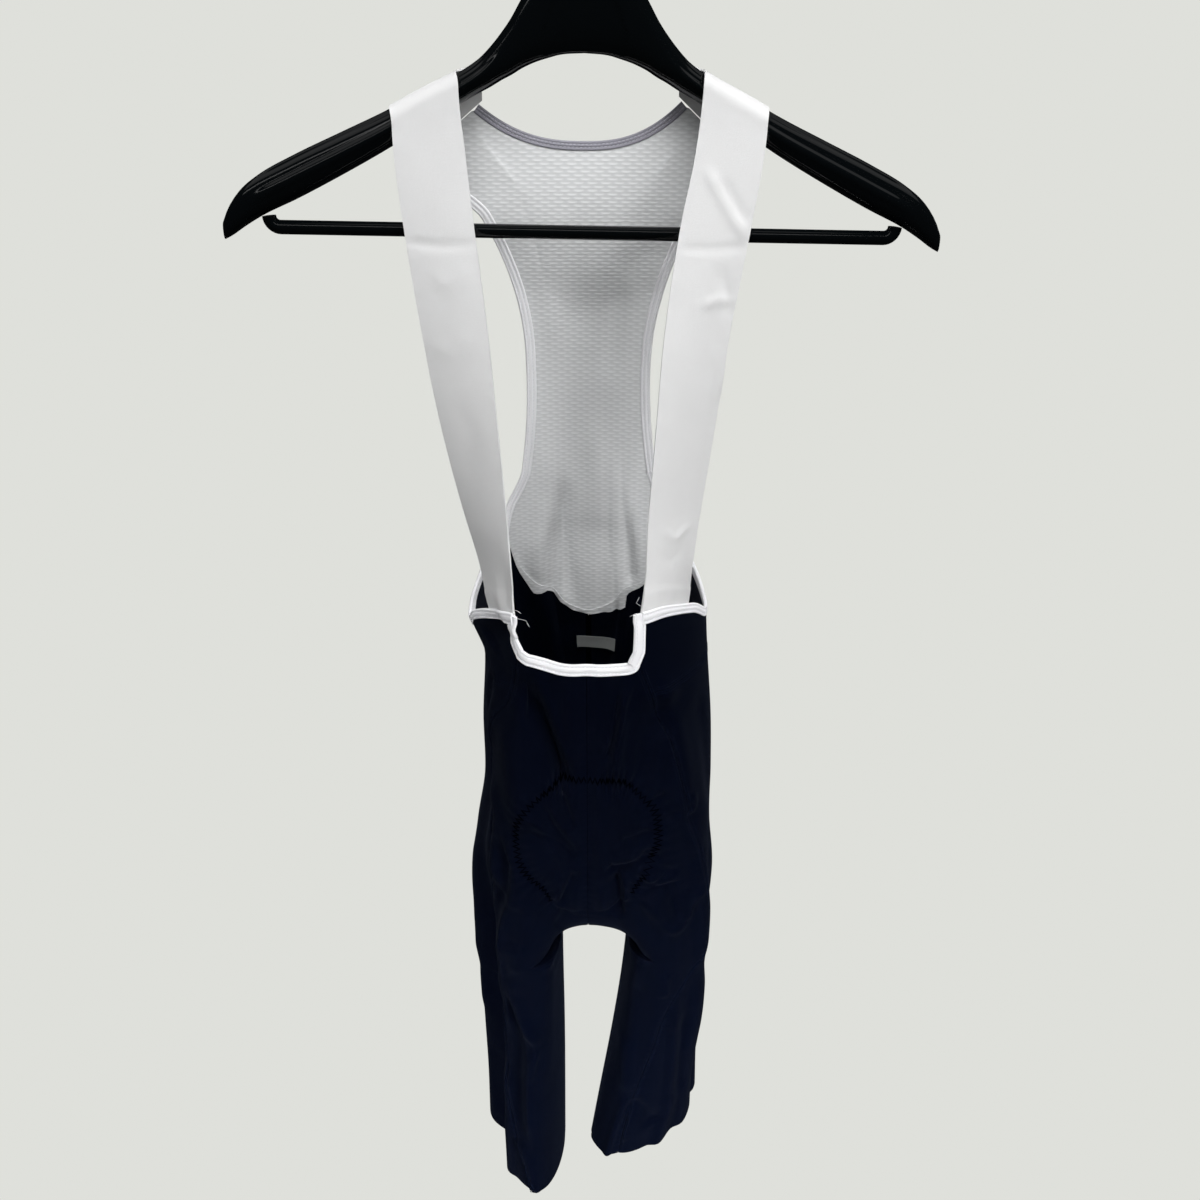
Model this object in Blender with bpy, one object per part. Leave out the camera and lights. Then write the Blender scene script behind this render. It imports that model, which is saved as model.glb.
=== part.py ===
"""Cycling bib shorts hanging on a plastic clothes hanger.

The origin is the inside of the hook's bend, where a rail carries the hanger.
+Z is up, the front of the shorts faces -Y and +X is to the viewer's right.
Tables are in millimetres and degrees; build() turns them into metres.

The shorts are a wall drawn through level sections. Each half, "l" at -X and
"r" at +X, has its own rows, because the left leg hangs lower and further
forward. On a half section the station s runs from the centre front (or the
inseam's front edge) at 0, over the foremost point at 0.25, the side at 0.5
and the hindmost point at 0.75, to the centre back (or inseam) at 1.
"""

import math

import bmesh
import bpy
import numpy as np

MILLIMETRE = 0.001
HALVES = {"l": -1, "r": 1}
SHARP_EDGE = 40

# Cloth
CLOTH = 1.4
ELASTIC = 1.3
BINDING = 2.2
SEAM_GAP = 0.3
WAIST_BINDING = 8.0
MESH_BINDING = 6.0
BINDING_TAPER = 40.0
PAD = 7.0

# Heights of the main lines, down from the hook
CROTCH = -784.0
HIP_LINE = -565.0
YOKE_SEAM = -543.0
SCOOP = -528.0
SCOOP_CORNER = 7.0
SCOOP_TURN = 5
SCOOP_BLEND = 12.0
HEM = {"l": -1035.0, "r": -1008.0}
LEG_TOP = -812.0

# Roundness of the sections; towards the fork it grows sharper, within its reach
ROUND = 0.55
FORK_SHARPNESS = 0.75
FORK_REACH = 22.0
FORK_TURN = 6.0

# Grid rows: evenly spaced in the leg and the body, closer together round the fork
LEG_ROWS = 10
BODY_ROWS = 7
FORK_LEVELS = np.array([
    LEG_TOP, -803, -796, -791, -787.5, -785.5, CROTCH, -782, -779, -774, -766, -756, -742, -725, -706, -686,
])

# The centre seam: height, depth of its front run, depth of its back run
CENTRE = np.array([
    (-480, -82, 54),
    (-545, -83, 61),
    (-620, -85, 66),
    (-690, -86, 65),
    (-730, -82, 55),
    (-756, -71, 38),
    (-772, -51, 16),
    (CROTCH, -15 - SEAM_GAP / 2, -15 + SEAM_GAP / 2),
])

# The inseam of each leg: height, distance from the centre plane, depth
INSEAM = {
    "l": np.array([
        (CROTCH, SEAM_GAP / 2, -15),
        (-785.5, 12, -15),
        (-788, 18, -16),
        (-793, 21, -17),
        (-805, 22, -20),
        (-900, 22, -26),
        (HEM["l"], 23, -30),
    ]),
    "r": np.array([
        (CROTCH, SEAM_GAP / 2, -15),
        (-785.5, 15, -15),
        (-788, 24, -16),
        (-793, 29, -18),
        (-805, 30, -22),
        (-900, 20, -40),
        (HEM["r"], 2, -56),
    ]),
}

RIDGE_ROWS = 5

# Level sections of each half: height, foremost point (out, depth),
# side point (out, depth), hindmost point (out, depth), fullness of the front corner
SECTIONS = {
    "l": np.array([
        (-480, 41, -81, 81, -4, 44, 54, 0.18),
        (-512, 41, -82, 88, -8, 44, 58, 0.20),
        (-545, 42, -83, 77, -10, 44, 61, 0.35),
        (-600, 42, -85, 80, -12, 46, 66, 0.50),
        (-650, 44, -88, 81, -14, 48, 68, 0.55),
        (-700, 46, -89, 89, -14, 50, 66, 0.55),
        (-750, 48, -89, 93, -14, 52, 61, 0.55),
        (-800, 48, -88, 91, -15, 52, 56, 0.55),
        (-870, 46, -88, 92, -14, 52, 53, 0.50),
        (-950, 45, -91, 92, -11, 53, 52, 0.42),
        (HEM["l"], 45, -94, 93, -8, 54, 50, 0.36),
    ]),
    "r": np.array([
        (-480, 34, -80, 82, -6, 44, 54, 0.25),
        (-512, 35, -81, 86, -9, 44, 58, 0.28),
        (-545, 36, -82, 90, -10, 46, 61, 0.40),
        (-600, 40, -84, 94, -12, 48, 66, 0.50),
        (-650, 44, -86, 96, -13, 50, 68, 0.55),
        (-700, 46, -86, 98, -13, 52, 66, 0.55),
        (-750, 50, -84, 102, -13, 54, 61, 0.55),
        (-800, 54, -82, 100, -13, 54, 56, 0.55),
        (-870, 50, -79, 98, -12, 54, 52, 0.55),
        (-950, 38, -77, 97, -11, 54, 50, 0.45),
        (HEM["r"], 28, -77, 98, -10, 54, 48, 0.34),
    ]),
}

# The seam between front and side panel: height, distance from the centre plane
FRONT_SEAM = {
    "l": np.array([
        (SCOOP + SCOOP_CORNER, 47), (-556, 56), (-572, 64), (-590, 69), (-640, 73), (-700, 78), (-760, 82),
        (-800, 80), (-840, 74), (-900, 70), (-960, 66), (-1000, 57), (HEM["l"], 47),
    ]),
    "r": np.array([
        (SCOOP + SCOOP_CORNER, 36), (-556, 49), (-578, 58), (-598, 63), (-636, 70), (-700, 82), (-760, 90),
        (-795, 88), (-815, 78), (-834, 66), (-886, 52), (-950, 35), (HEM["r"], 25),
    ]),
}

# The seam between side and back panel: height, station
BACK_SEAM = np.array([(-470, 0.68), (-560, 0.67), (-700, 0.66), (-800, 0.66), (-1050, 0.68)])

# The upper edge of the cloth, under the binding: station, height
YOKE_TOP = {
    "l": np.array([(0.30, -494), (0.34, -497), (0.42, -511), (0.47, -522), (0.52, -519), (0.60, -499), (0.68, -480)]),
    "r": np.array([(0.26, -494), (0.32, -494), (0.40, -502), (0.47, -514), (0.52, -512), (0.60, -496), (0.68, -480)]),
}
BACK_TOP = np.array([(0.68, -480), (0.71, -504), (0.76, -522), (0.84, -531), (0.90, -541), (1.0, -550)])
SCOOP_SIDE = {"l": 53.0, "r": 40.0}
SCOOP_ROWS = np.array([0.5, 1.0])
YOKE_ROWS = np.array([0.0, 0.45, 0.72, 1.0])
BACK_PEAK = -480.0

# The largest folds: half, upper end (height, station), lower end (height, station),
# half width, height of the ridge (a valley is negative)
FOLDS = [
    ("l", -534, 0.27, -626, 0.06, 11, -7.0),
    ("l", -560, 0.34, -664, 0.24, 14, 4.0),
    ("l", -690, 0.40, -1035, 0.415, 11, -15.0),
    ("l", -560, 0.44, -800, 0.44, 8, -5.0),
    ("l", -600, 0.74, -1000, 0.80, 16, -7.0),
    ("l", -560, 0.90, -652, 0.91, 14, -5.0),
    ("r", -545, 0.21, -624, 0.11, 8, 4.0),
    ("r", -545, 0.33, -636, 0.22, 12, -5.0),
    ("r", -560, 0.38, -960, 0.42, 11, 5.0),
    ("r", -640, 0.46, -1008, 0.48, 8, -6.0),
    ("r", -870, 0.12, -940, 0.22, 12, 2.0),
    ("r", -590, 0.72, -1000, 0.76, 15, -8.0),
    ("r", -562, 0.87, -652, 0.88, 12, -5.0),
]
STATION_LENGTH = 270.0
FOLD_FADE = 0.25
SEAM_FADE = 0.04

# Steps that normals and lengths are measured over, and halvings of a search
STATION_STEP = 0.004
LEVEL_STEP = 1.5
EDGE_STEP = 0.01
HALVINGS = 30
TINY = 1e-6

# Straps: height, inner edge (out, depth), outer edge (out, depth)
STRAPS = {
    "l": np.array([
        (-200, 69.5, -18, 117, -17),
        (-245, 66, -27, 113, -22),
        (-300, 62, -40, 106, -28),
        (-360, 57, -53, 97, -33),
        (-420, 52, -65, 86, -37),
        (-460, 49.5, -73, 77, -40),
    ]),
    "r": np.array([
        (-200, 67.5, -18, 110, -17),
        (-245, 58.5, -27, 103, -23),
        (-310, 49.5, -43, 92, -31),
        (-370, 45, -56, 84.5, -37),
        (-420, 41, -65, 79.5, -42),
        (-460, 39.5, -73, 76, -46),
    ]),
}
STRAP_COLUMNS = 6
STRAP_LINES = 8
STRAP_OVERHANG = 5.0
STRAP_CLEARANCE = 0.8
STRAP_ON_ARM = {"l": (78.0, 119.0), "r": (73.0, 113.0)}
STRAP_SLANT = 14.0
STRAP_BACK_DROP = np.array([24.0, 36.0])

# Mesh back: height, half width of the panel, shift of its middle, depth at its middle, depth at its edges
MESH_ROWS = np.array([
    (-550, 66, 0, 60, 48),
    (-480, 61, 0, 58, 47),
    (-464, 54, 1, 55, 45),
    (-440, 46, 2, 51, 42),
    (-410, 40, 2, 47, 39),
    (-380, 37, 2, 43, 36),
    (-350, 36, 2, 39, 33),
    (-314, 38.5, 2, 35, 29),
    (-284, 43, 2, 31, 26),
    (-258, 51, 2, 27, 23),
    (-236, 60.5, 1, 24, 20),
    (-216, 75, 0, 21, 18),
    (-208, 86, 0, 19, 16),
    (-200, 100, 0, 17, 15),
])
MESH_HEM_BLEND = 0.2
MESH_TOP_BLEND = 0.14
MESH_DEPTH_BLEND = 0.32
MESH_LINES = 17
MESH_CROWDING = 1.2
NECK_LOW = -198.5
NECK_DEPTH = 18.0
NECK_CURVE = 2.5
FRONT_COLUMNS = 7
SIDE_COLUMNS = 9
BACK_COLUMNS = 7
YOKE_COLUMNS = 13
NECK_PART = 4 / 6
MESH_ON_STRAP = np.array([0.14, 0.86])

# Seat pad, its front and its back part: height, half width
PAD_FRONT = np.array([
    (-621, 12), (-625, 28), (-633, 39), (-648, 46), (-668, 50), (-688, 48), (-708, 42),
    (-728, 34), (-748, 27), (-763, 23), (CROTCH, 18),
])
PAD_BACK = np.array([
    (-648, 14), (-653, 32), (-668, 44), (-688, 48), (-708, 46), (-728, 40), (-748, 32),
    (-763, 25), (CROTCH, 18),
])
PAD_TIP = 5.0
PAD_COLUMNS = 9
PAD_CLEARANCE = 1.4

# Size label, inside the back
LABEL = 0.8
LABEL_COLUMNS = 5
LABEL_SIZE = (32.0, 10.0)
LABEL_LEFT = -10.0
LABEL_TOP = -572.0
LABEL_SLANT = 0.08

# Hanger, level in its own frame and then turned by its tilt:
# distance from the middle, top, underside, half depth, forward bow
HANGER_ROWS = np.array([
    (0, -84, -143, 9, 0),
    (14, -86, -144, 9.5, 0),
    (24, -94, -146, 10, 0),
    (34, -104, -150, 10.5, 0),
    (44, -116, -155.5, 11, 0),
    (60, -138, -164, 12, 0),
    (69, -146.5, -169, 12.2, 0),
    (78, -154, -173.5, 12.5, 0),
    (100, -166, -186, 13, 0),
    (122, -177, -199, 13, 1),
    (150, -189.5, -214, 13, 3),
    (180, -203, -229, 12.5, 6),
    (202, -214.5, -239, 11.5, 9),
    (214, -224, -246, 10, 12),
    (221.5, -234, -251, 7.5, 14),
    (225.5, -242, -253, 4, 15),
])
HANGER_TILT = 1.0
HANGER_SHIFT = 2.5
HANGER_SQUARENESS = 2.6
HANGER_AROUND = 16
NECK_TOP = -84.0
BAR_HEIGHT = -246.0
BAR_RADIUS = 4.4
BAR_HALF_LENGTH = 198.3
BAR_DEPTH = -9.5
BAR_BEND = 6.8
BAR_BEND_POINTS = 5
BAR_AROUND = 12
HOOK_WIRE = 2.0
HOOK_BEND = 21.0
HOOK_ARC = (-48, 205)
HOOK_POINTS = 22
HOOK_AROUND = 10
HOOK_STEM = np.array([(0, 0, 0), (0, 0, 8), (0, 0, 16), (0, 0, 24), (1.2, 0, 30), (4.5, 0, 36)])


def smooth(value):
    """Ease from 0 to 1, flat at both ends."""
    value = np.clip(value, 0.0, 1.0)
    return value * value * (3 - 2 * value)


def through(rows, column, at):
    """A smooth curve through one column of a table, read at the given first-column values."""
    rows = rows[np.argsort(rows[:, 0])]
    knots = rows[:, 0]
    values = rows[:, column]
    steps = np.diff(values) / np.diff(knots)
    slopes = np.concatenate([steps[:1], (steps[:-1] + steps[1:]) / 2, steps[-1:]])
    turning = np.concatenate([[False], steps[:-1] * steps[1:] <= 0, [False]])
    slopes[turning] = 0
    at = np.clip(at, knots[0], knots[-1])
    index = np.clip(np.searchsorted(knots, at) - 1, 0, len(knots) - 2)
    span = knots[index + 1] - knots[index]
    part = (at - knots[index]) / span
    start = (1 + 2 * part) * (1 - part) ** 2 * values[index]
    end = part**2 * (3 - 2 * part) * values[index + 1]
    bend = part * (1 - part) * span * ((1 - part) * slopes[index] - part * slopes[index + 1])
    return start + end + bend


def bezier(part, first, second, third, fourth):
    rest = 1 - part
    return (
        rest**3 * first
        + 3 * rest**2 * part * second
        + 3 * rest * part**2 * third
        + part**3 * fourth
    )


def bare_section(half, station, level):
    """The cloth's middle surface before its folds, as points (x, y, z) in millimetres."""
    station, level = np.broadcast_arrays(np.asarray(station, float), np.asarray(level, float))
    rows = SECTIONS[half]
    front_x, front_y, side_x, side_y, back_x, back_y, corner = (
        through(rows, column, level) for column in range(1, 8)
    )
    in_leg = level < CROTCH
    leg = smooth((CROTCH - level) / FORK_TURN + 0.5)
    inner_x = np.where(in_leg, through(INSEAM[half], 1, level), SEAM_GAP / 2)
    inseam_y = through(INSEAM[half], 2, level)
    inner_front = np.where(in_leg, inseam_y - SEAM_GAP / 2, through(CENTRE, 1, level))
    inner_back = np.where(in_leg, inseam_y + SEAM_GAP / 2, through(CENTRE, 2, level))
    inner_round = ROUND * (1 - FORK_SHARPNESS * np.exp(-(((level - CROTCH) / FORK_REACH) ** 2)))
    out, depth = np.empty_like(level), np.empty_like(level)
    quarter = np.clip(np.floor(station * 4), 0, 3)
    part = station * 4 - quarter
    run = front_x - inner_x
    rise = inner_front - front_y
    first = (inner_x + inner_round * (1 - leg) * run, inner_front - inner_round * leg * rise)
    arcs = [
        (
            (inner_x, first[0], front_x - ROUND * run, front_x),
            (inner_front, first[1], front_y, front_y),
        ),
        (
            (front_x, front_x + corner * (side_x - front_x), side_x, side_x),
            (front_y, front_y, side_y - corner * (side_y - front_y), side_y),
        ),
        (
            (side_x, side_x, back_x + ROUND * (side_x - back_x), back_x),
            (side_y, side_y + ROUND * (back_y - side_y), back_y, back_y),
        ),
        (
            (
                back_x,
                back_x - ROUND * (back_x - inner_x),
                inner_x + inner_round * (1 - leg) * (back_x - inner_x),
                inner_x,
            ),
            (back_y, back_y, inner_back + inner_round * leg * (back_y - inner_back), inner_back),
        ),
    ]
    for number, (across, along) in enumerate(arcs):
        here = quarter == number
        out = np.where(here, bezier(part, *across), out)
        depth = np.where(here, bezier(part, *along), depth)
    return np.stack([HALVES[half] * out, depth, level], axis=-1)


def facing(surface, half, station, level):
    """The unit normal that points out of the garment."""
    across = surface(half, np.minimum(station + STATION_STEP, 1), level)
    across = across - surface(half, np.maximum(station - STATION_STEP, 0), level)
    up = surface(half, station, level + LEVEL_STEP) - surface(half, station, level - LEVEL_STEP)
    normal = np.cross(across, up) * HALVES[half]
    return normal / np.linalg.norm(normal, axis=-1, keepdims=True)


def fold_height(half, station, level):
    """How far the folds lift the cloth at each point."""
    lift = np.zeros(np.broadcast(station, level).shape)
    for side, high, from_station, low, to_station, width, height in FOLDS:
        if side != half:
            continue
        part = (high - level) / (high - low)
        middle = from_station + (to_station - from_station) * np.clip(part, 0, 1)
        fade = smooth(part / FOLD_FADE) * smooth((1 - part) / FOLD_FADE + (low <= HEM[half]))
        off = (station - middle) * STATION_LENGTH / width
        lift += height * np.exp(-(off**2)) * fade
    return lift


def shorts(half, station, level):
    """The cloth's middle surface with its folds."""
    station = np.asarray(station, float)
    level = np.asarray(level, float)
    ends = smooth(station / SEAM_FADE) * smooth((1 - station) / SEAM_FADE)
    lift = fold_height(half, station, level) * ends
    base = bare_section(half, station, level)
    return base + facing(bare_section, half, station, level) * lift[..., None]


def outward(half, station, level):
    """The folded surface's normal, shared by both sides of the centre seams and the inseam."""
    normal = facing(shorts, half, station, level)
    edge = (station < TINY) | (station > 1 - TINY)
    other = facing(shorts, half, np.where(edge, 1 - station, station), level)
    normal = np.where((edge & (level < CROTCH))[..., None], normal + other, normal)
    flat = normal.copy()
    flat[..., 0] = 0
    normal = np.where((edge & (level >= CROTCH))[..., None], flat, normal)
    return normal / np.linalg.norm(normal, axis=-1, keepdims=True)


def station_at(half, level, out, behind=False):
    """The front station, or the one behind, that lies this far from the centre plane."""
    level, out = np.broadcast_arrays(np.asarray(level, float), np.asarray(out, float))
    inner = np.full_like(level, 1.0 if behind else 0.0)
    outer = np.full_like(level, 0.5)
    for _ in range(HALVINGS):
        middle = (inner + outer) / 2
        inside = np.abs(bare_section(half, middle, level)[..., 0]) < out
        inner, outer = np.where(inside, middle, inner), np.where(inside, outer, middle)
    return (inner + outer) / 2


def front_seam(half, level):
    return station_at(half, level, through(FRONT_SEAM[half], 1, level))


def back_seam(level):
    return through(BACK_SEAM, 1, level)


def hug(half, station, level, side):
    """Half a seam gap, as a change of station towards +1 or -1."""
    reach = shorts(half, station + STATION_STEP, level) - shorts(half, station - STATION_STEP, level)
    return side * SEAM_GAP * STATION_STEP / np.linalg.norm(reach, axis=-1)


def material(name, colour, roughness, metallic=0.0):
    made = bpy.data.materials.new(name)
    made.use_nodes = True
    shader = made.node_tree.nodes["Principled BSDF"]
    shader.inputs["Base Color"].default_value = (*colour, 1)
    shader.inputs["Roughness"].default_value = roughness
    shader.inputs["Metallic"].default_value = metallic
    made.diffuse_color = (*colour, 1)
    return made


def build(name, points, faces, finish):
    """One closed mesh object from points in millimetres."""
    mesh = bpy.data.meshes.new(name)
    mesh.from_pydata((np.asarray(points) * MILLIMETRE).tolist(), [], faces)
    work = bmesh.new()
    work.from_mesh(mesh)
    bmesh.ops.recalc_face_normals(work, faces=work.faces)
    work.to_mesh(mesh)
    work.free()
    mesh.materials.append(material(name, *finish))
    mesh.shade_smooth()
    mesh.set_sharp_from_angle(angle=math.radians(SHARP_EDGE))
    piece = bpy.data.objects.new(name, mesh)
    bpy.context.scene.collection.objects.link(piece)
    return piece


def wall(name, grid, normals, thickness, finish):
    """A closed wall on both sides of a grid of points."""
    rows, columns = grid.shape[:2]
    half = thickness / 2
    points = np.concatenate([
        (grid + normals * half).reshape(-1, 3),
        (grid - normals * half).reshape(-1, 3),
    ])
    under = rows * columns
    faces = []
    for row in range(rows - 1):
        for column in range(columns - 1):
            corner = row * columns + column
            quad = (corner, corner + 1, corner + columns + 1, corner + columns)
            faces.append(quad)
            faces.append(tuple(under + index for index in reversed(quad)))
    rim = list(range(columns))
    rim += [row * columns + columns - 1 for row in range(1, rows)]
    rim += [(rows - 1) * columns + column for column in range(columns - 2, -1, -1)]
    rim += [row * columns for row in range(rows - 2, 0, -1)]
    for index, start in enumerate(rim):
        end = rim[(index + 1) % len(rim)]
        faces.append((end, start, under + start, under + end))
    return build(name, points, faces, finish)


def loop_tube(name, rings, finish):
    """A closed body through rings of equal point count, with flat ends."""
    count, around = rings.shape[:2]
    faces = [tuple(range(around))]
    for ring in range(count - 1):
        for index in range(around):
            after = (index + 1) % around
            low, high = ring * around, (ring + 1) * around
            faces.append((low + index, high + index, high + after, low + after))
    faces.append(tuple((count - 1) * around + index for index in reversed(range(around))))
    return build(name, rings.reshape(-1, 3), faces, finish)


def round_bar(name, path, radius, around, finish):
    """A round bar that follows a path."""
    path = np.asarray(path, float)
    along = np.gradient(path, axis=0)
    along /= np.linalg.norm(along, axis=1, keepdims=True)
    side = np.cross(along, (0, 1, 0))
    side /= np.linalg.norm(side, axis=1, keepdims=True)
    other = np.cross(along, side)
    turn = np.arange(around) * 2 * math.pi / around
    rings = path[:, None] + radius * (
        np.cos(turn)[None, :, None] * side[:, None] + np.sin(turn)[None, :, None] * other[:, None]
    )
    return loop_tube(name, rings, finish)


def band(name, path, normals, across, width, thickness, finish):
    """A flat strip beside a path, on the side that across points to."""
    near = path + across * SEAM_GAP
    far = path + across * (SEAM_GAP + width)
    lift = normals * thickness / 2
    rings = np.stack([near + lift, far + lift, far - lift, near - lift], axis=1)
    return loop_tube(name, rings, finish)


NAVY = ((0.012, 0.016, 0.034), 0.62)
WHITE = ((0.78, 0.78, 0.79), 0.75)
LAVENDER = ((0.60, 0.59, 0.68), 0.7)
GREY = ((0.30, 0.31, 0.31), 0.8)
FOAM = ((0.05, 0.06, 0.09), 0.85)
PLASTIC = ((0.012, 0.013, 0.014), 0.18)
STEEL = ((0.62, 0.62, 0.63), 0.28, 1.0)


def shared_levels(half):
    """Levels of the grid rows from hem to hip line; those above the leg top are the same on both halves."""
    leg = np.linspace(HEM[half], LEG_TOP, LEG_ROWS)[:-1]
    body = np.linspace(FORK_LEVELS[-1], HIP_LINE, BODY_ROWS)[1:]
    return np.concatenate([leg, FORK_LEVELS, body])


def panel(name, half, from_station, to_station, columns, top, fractions):
    """A panel of the shorts between two seams, from the hem to its own upper edge."""
    shared = shared_levels(half)
    part = np.linspace(0, 1, columns)[None, :]
    level = np.repeat(shared[:, None], columns, axis=1)
    crown = HIP_LINE + np.asarray(fractions)[:, None] * (top(part) - HIP_LINE)
    level = np.concatenate([level, crown])
    low, high = from_station(level), to_station(level)
    station = low + (high - low) * part
    return wall(name, shorts(half, station, level), outward(half, station, level), CLOTH, NAVY)


def scoop_edge(part):
    """The height of the front panel's upper edge, from the centre seam to the yoke."""
    return SCOOP + SCOOP_CORNER * part**SCOOP_TURN


def back_edge_level(part):
    """The height of the back panel's upper edge, from the yoke to the centre seam."""
    return through(BACK_TOP, 1, BACK_TOP[0, 0] + (1 - BACK_TOP[0, 0]) * part)


def make_panels(half):
    def seam_front_inner(level):
        station = front_seam(half, level)
        return station + hug(half, station, level, -1)

    def seam_front_outer(level):
        station = front_seam(half, level)
        return station + hug(half, station, level, 1)

    def seam_back_inner(level):
        station = back_seam(level)
        return station + hug(half, station, level, -1)

    def seam_back_outer(level):
        station = back_seam(level)
        return station + hug(half, station, level, 1)

    panel(
        "front_" + half, half, lambda level: 0 * level, seam_front_inner, FRONT_COLUMNS,
        scoop_edge, SCOOP_ROWS,
    )
    panel(
        "side_" + half, half, seam_front_outer, seam_back_inner, SIDE_COLUMNS,
        lambda part: YOKE_SEAM - SEAM_GAP / 2 + 0 * part, (1.0,),
    )
    panel(
        "back_" + half, half, seam_back_outer, lambda level: 0 * level + 1, BACK_COLUMNS,
        back_edge_level,
        (YOKE_SEAM + YOKE_ROWS * (BACK_PEAK - YOKE_SEAM) - HIP_LINE) / (BACK_PEAK - HIP_LINE),
    )


def yoke_grid(half):
    """Stations and levels of the yoke, whose inner edge follows the scoop's side."""
    part = np.linspace(0, 1, YOKE_COLUMNS)[None, :]
    stations = YOKE_TOP[half][:, 0]
    top = through(YOKE_TOP[half], 1, stations[0] + (stations[-1] - stations[0]) * part)
    low = YOKE_SEAM + SEAM_GAP / 2
    level = low + YOKE_ROWS[:, None] * (top - low)
    seam = front_seam(half, level)
    scoop = station_at(half, level, SCOOP_SIDE[half])
    blend = smooth((level[:, :1] - SCOOP - SCOOP_CORNER) / SCOOP_BLEND)
    inner = seam[:, :1] + hug(half, seam[:, :1], level[:, :1], 1)
    inner = inner + (scoop[:, :1] - inner) * blend
    outer = back_seam(level)
    outer = outer + hug(half, outer, level, -1)
    return inner + (outer - inner) * part, level


def make_yoke(half):
    station, level = yoke_grid(half)
    wall("yoke_" + half, shorts(half, station, level), outward(half, station, level), CLOTH, NAVY)


def back_edge(half, part):
    """Stations and levels of the back panel's upper edge, from the yoke to the centre seam."""
    level = back_edge_level(part)
    seam = back_seam(level)
    seam = seam + hug(half, seam, level, 1)
    return seam + (1 - seam) * part, level


def sewn_edge(half, across):
    """The mesh back's lower edge, one seam gap beyond the back panel, and the normal there."""
    def edge(part):
        return shorts(half, *back_edge(half, np.clip(part, 0, 1)))

    part = 1 - np.abs(across)
    along = edge(part + EDGE_STEP) - edge(part - EDGE_STEP)
    normal = outward(half, *back_edge(half, part))
    away = np.cross(along, normal)
    away *= np.sign(away[..., 2:])
    away /= np.linalg.norm(away, axis=-1, keepdims=True)
    return edge(part) + away * SEAM_GAP, normal


def by_half(function, across):
    """Results of a function of (half, across), each point taken from its own half."""
    left, right = function("l", across), function("r", across)
    on_left = (np.asarray(across) < 0)[..., None]
    if isinstance(left, tuple):
        return tuple(np.where(on_left, *pair) for pair in zip(left, right))
    return np.where(on_left, left, right)


def on_hanger(points):
    """Points given in the hanger's own frame, turned by its tilt and shifted under the hook."""
    turn = math.radians(HANGER_TILT)
    x, y, z = np.moveaxis(np.asarray(points, float), -1, 0)
    return np.stack([
        HANGER_SHIFT + x * math.cos(turn) + z * math.sin(turn),
        y,
        z * math.cos(turn) - x * math.sin(turn),
    ], axis=-1)


def arm_section(out, turn, offset=0.0):
    """A point of the hanger's skin: distance out along an arm, and turn round it from the front."""
    out, turn = np.broadcast_arrays(np.asarray(out, float), np.asarray(turn, float))
    away = np.abs(out)
    top, under = through(HANGER_ROWS, 1, away), through(HANGER_ROWS, 2, away)
    depth, bow = through(HANGER_ROWS, 3, away), through(HANGER_ROWS, 4, away)
    power = 2 / HANGER_SQUARENESS
    swing, lift = np.cos(turn), np.sin(turn)
    y = -bow - (depth + offset) * np.sign(swing) * np.abs(swing) ** power
    z = (top + under) / 2 + ((top - under) / 2 + offset) * np.sign(lift) * np.abs(lift) ** power
    return np.stack([out, y, z], axis=-1)


def strap_on_arm(half, across, turn):
    """A strap point in the hanger's frame: across 0 to 1 from the inner edge, turn from the front."""
    inner, outer = STRAP_ON_ARM[half]
    out = HALVES[half] * (inner + (outer - inner) * across - STRAP_SLANT * turn / math.pi)
    return arm_section(out, turn, ELASTIC / 2 + STRAP_CLEARANCE)


def strap_rear(half, across):
    """The strap's rear end, which hangs behind the arm."""
    corners = strap_on_arm(half, np.array([0.0, 1.0]), math.pi)
    corners[:, 2] = through(HANGER_ROWS, 1, np.abs(corners[:, 0])) - STRAP_BACK_DROP
    first, last = on_hanger(corners)
    return first + (last - first) * np.asarray(across)[..., None]


def mesh_top(half, across):
    """The mesh back's upper edge: round the neck, then under the strap's rear end."""
    away = np.abs(across)
    inner, outer = MESH_ON_STRAP
    point = strap_rear(half, inner + (outer - inner) * np.clip((away - NECK_PART) / (1 - NECK_PART), 0, 1))
    point[..., 2] -= 2 * SEAM_GAP
    neck = np.clip(away / NECK_PART, 0, 1)
    point[..., 0] *= neck
    point[..., 1] += (NECK_DEPTH - point[..., 1]) * (1 - neck**2)
    point[..., 2] += (NECK_LOW - point[..., 2]) * (1 - neck**NECK_CURVE)
    return point


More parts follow.
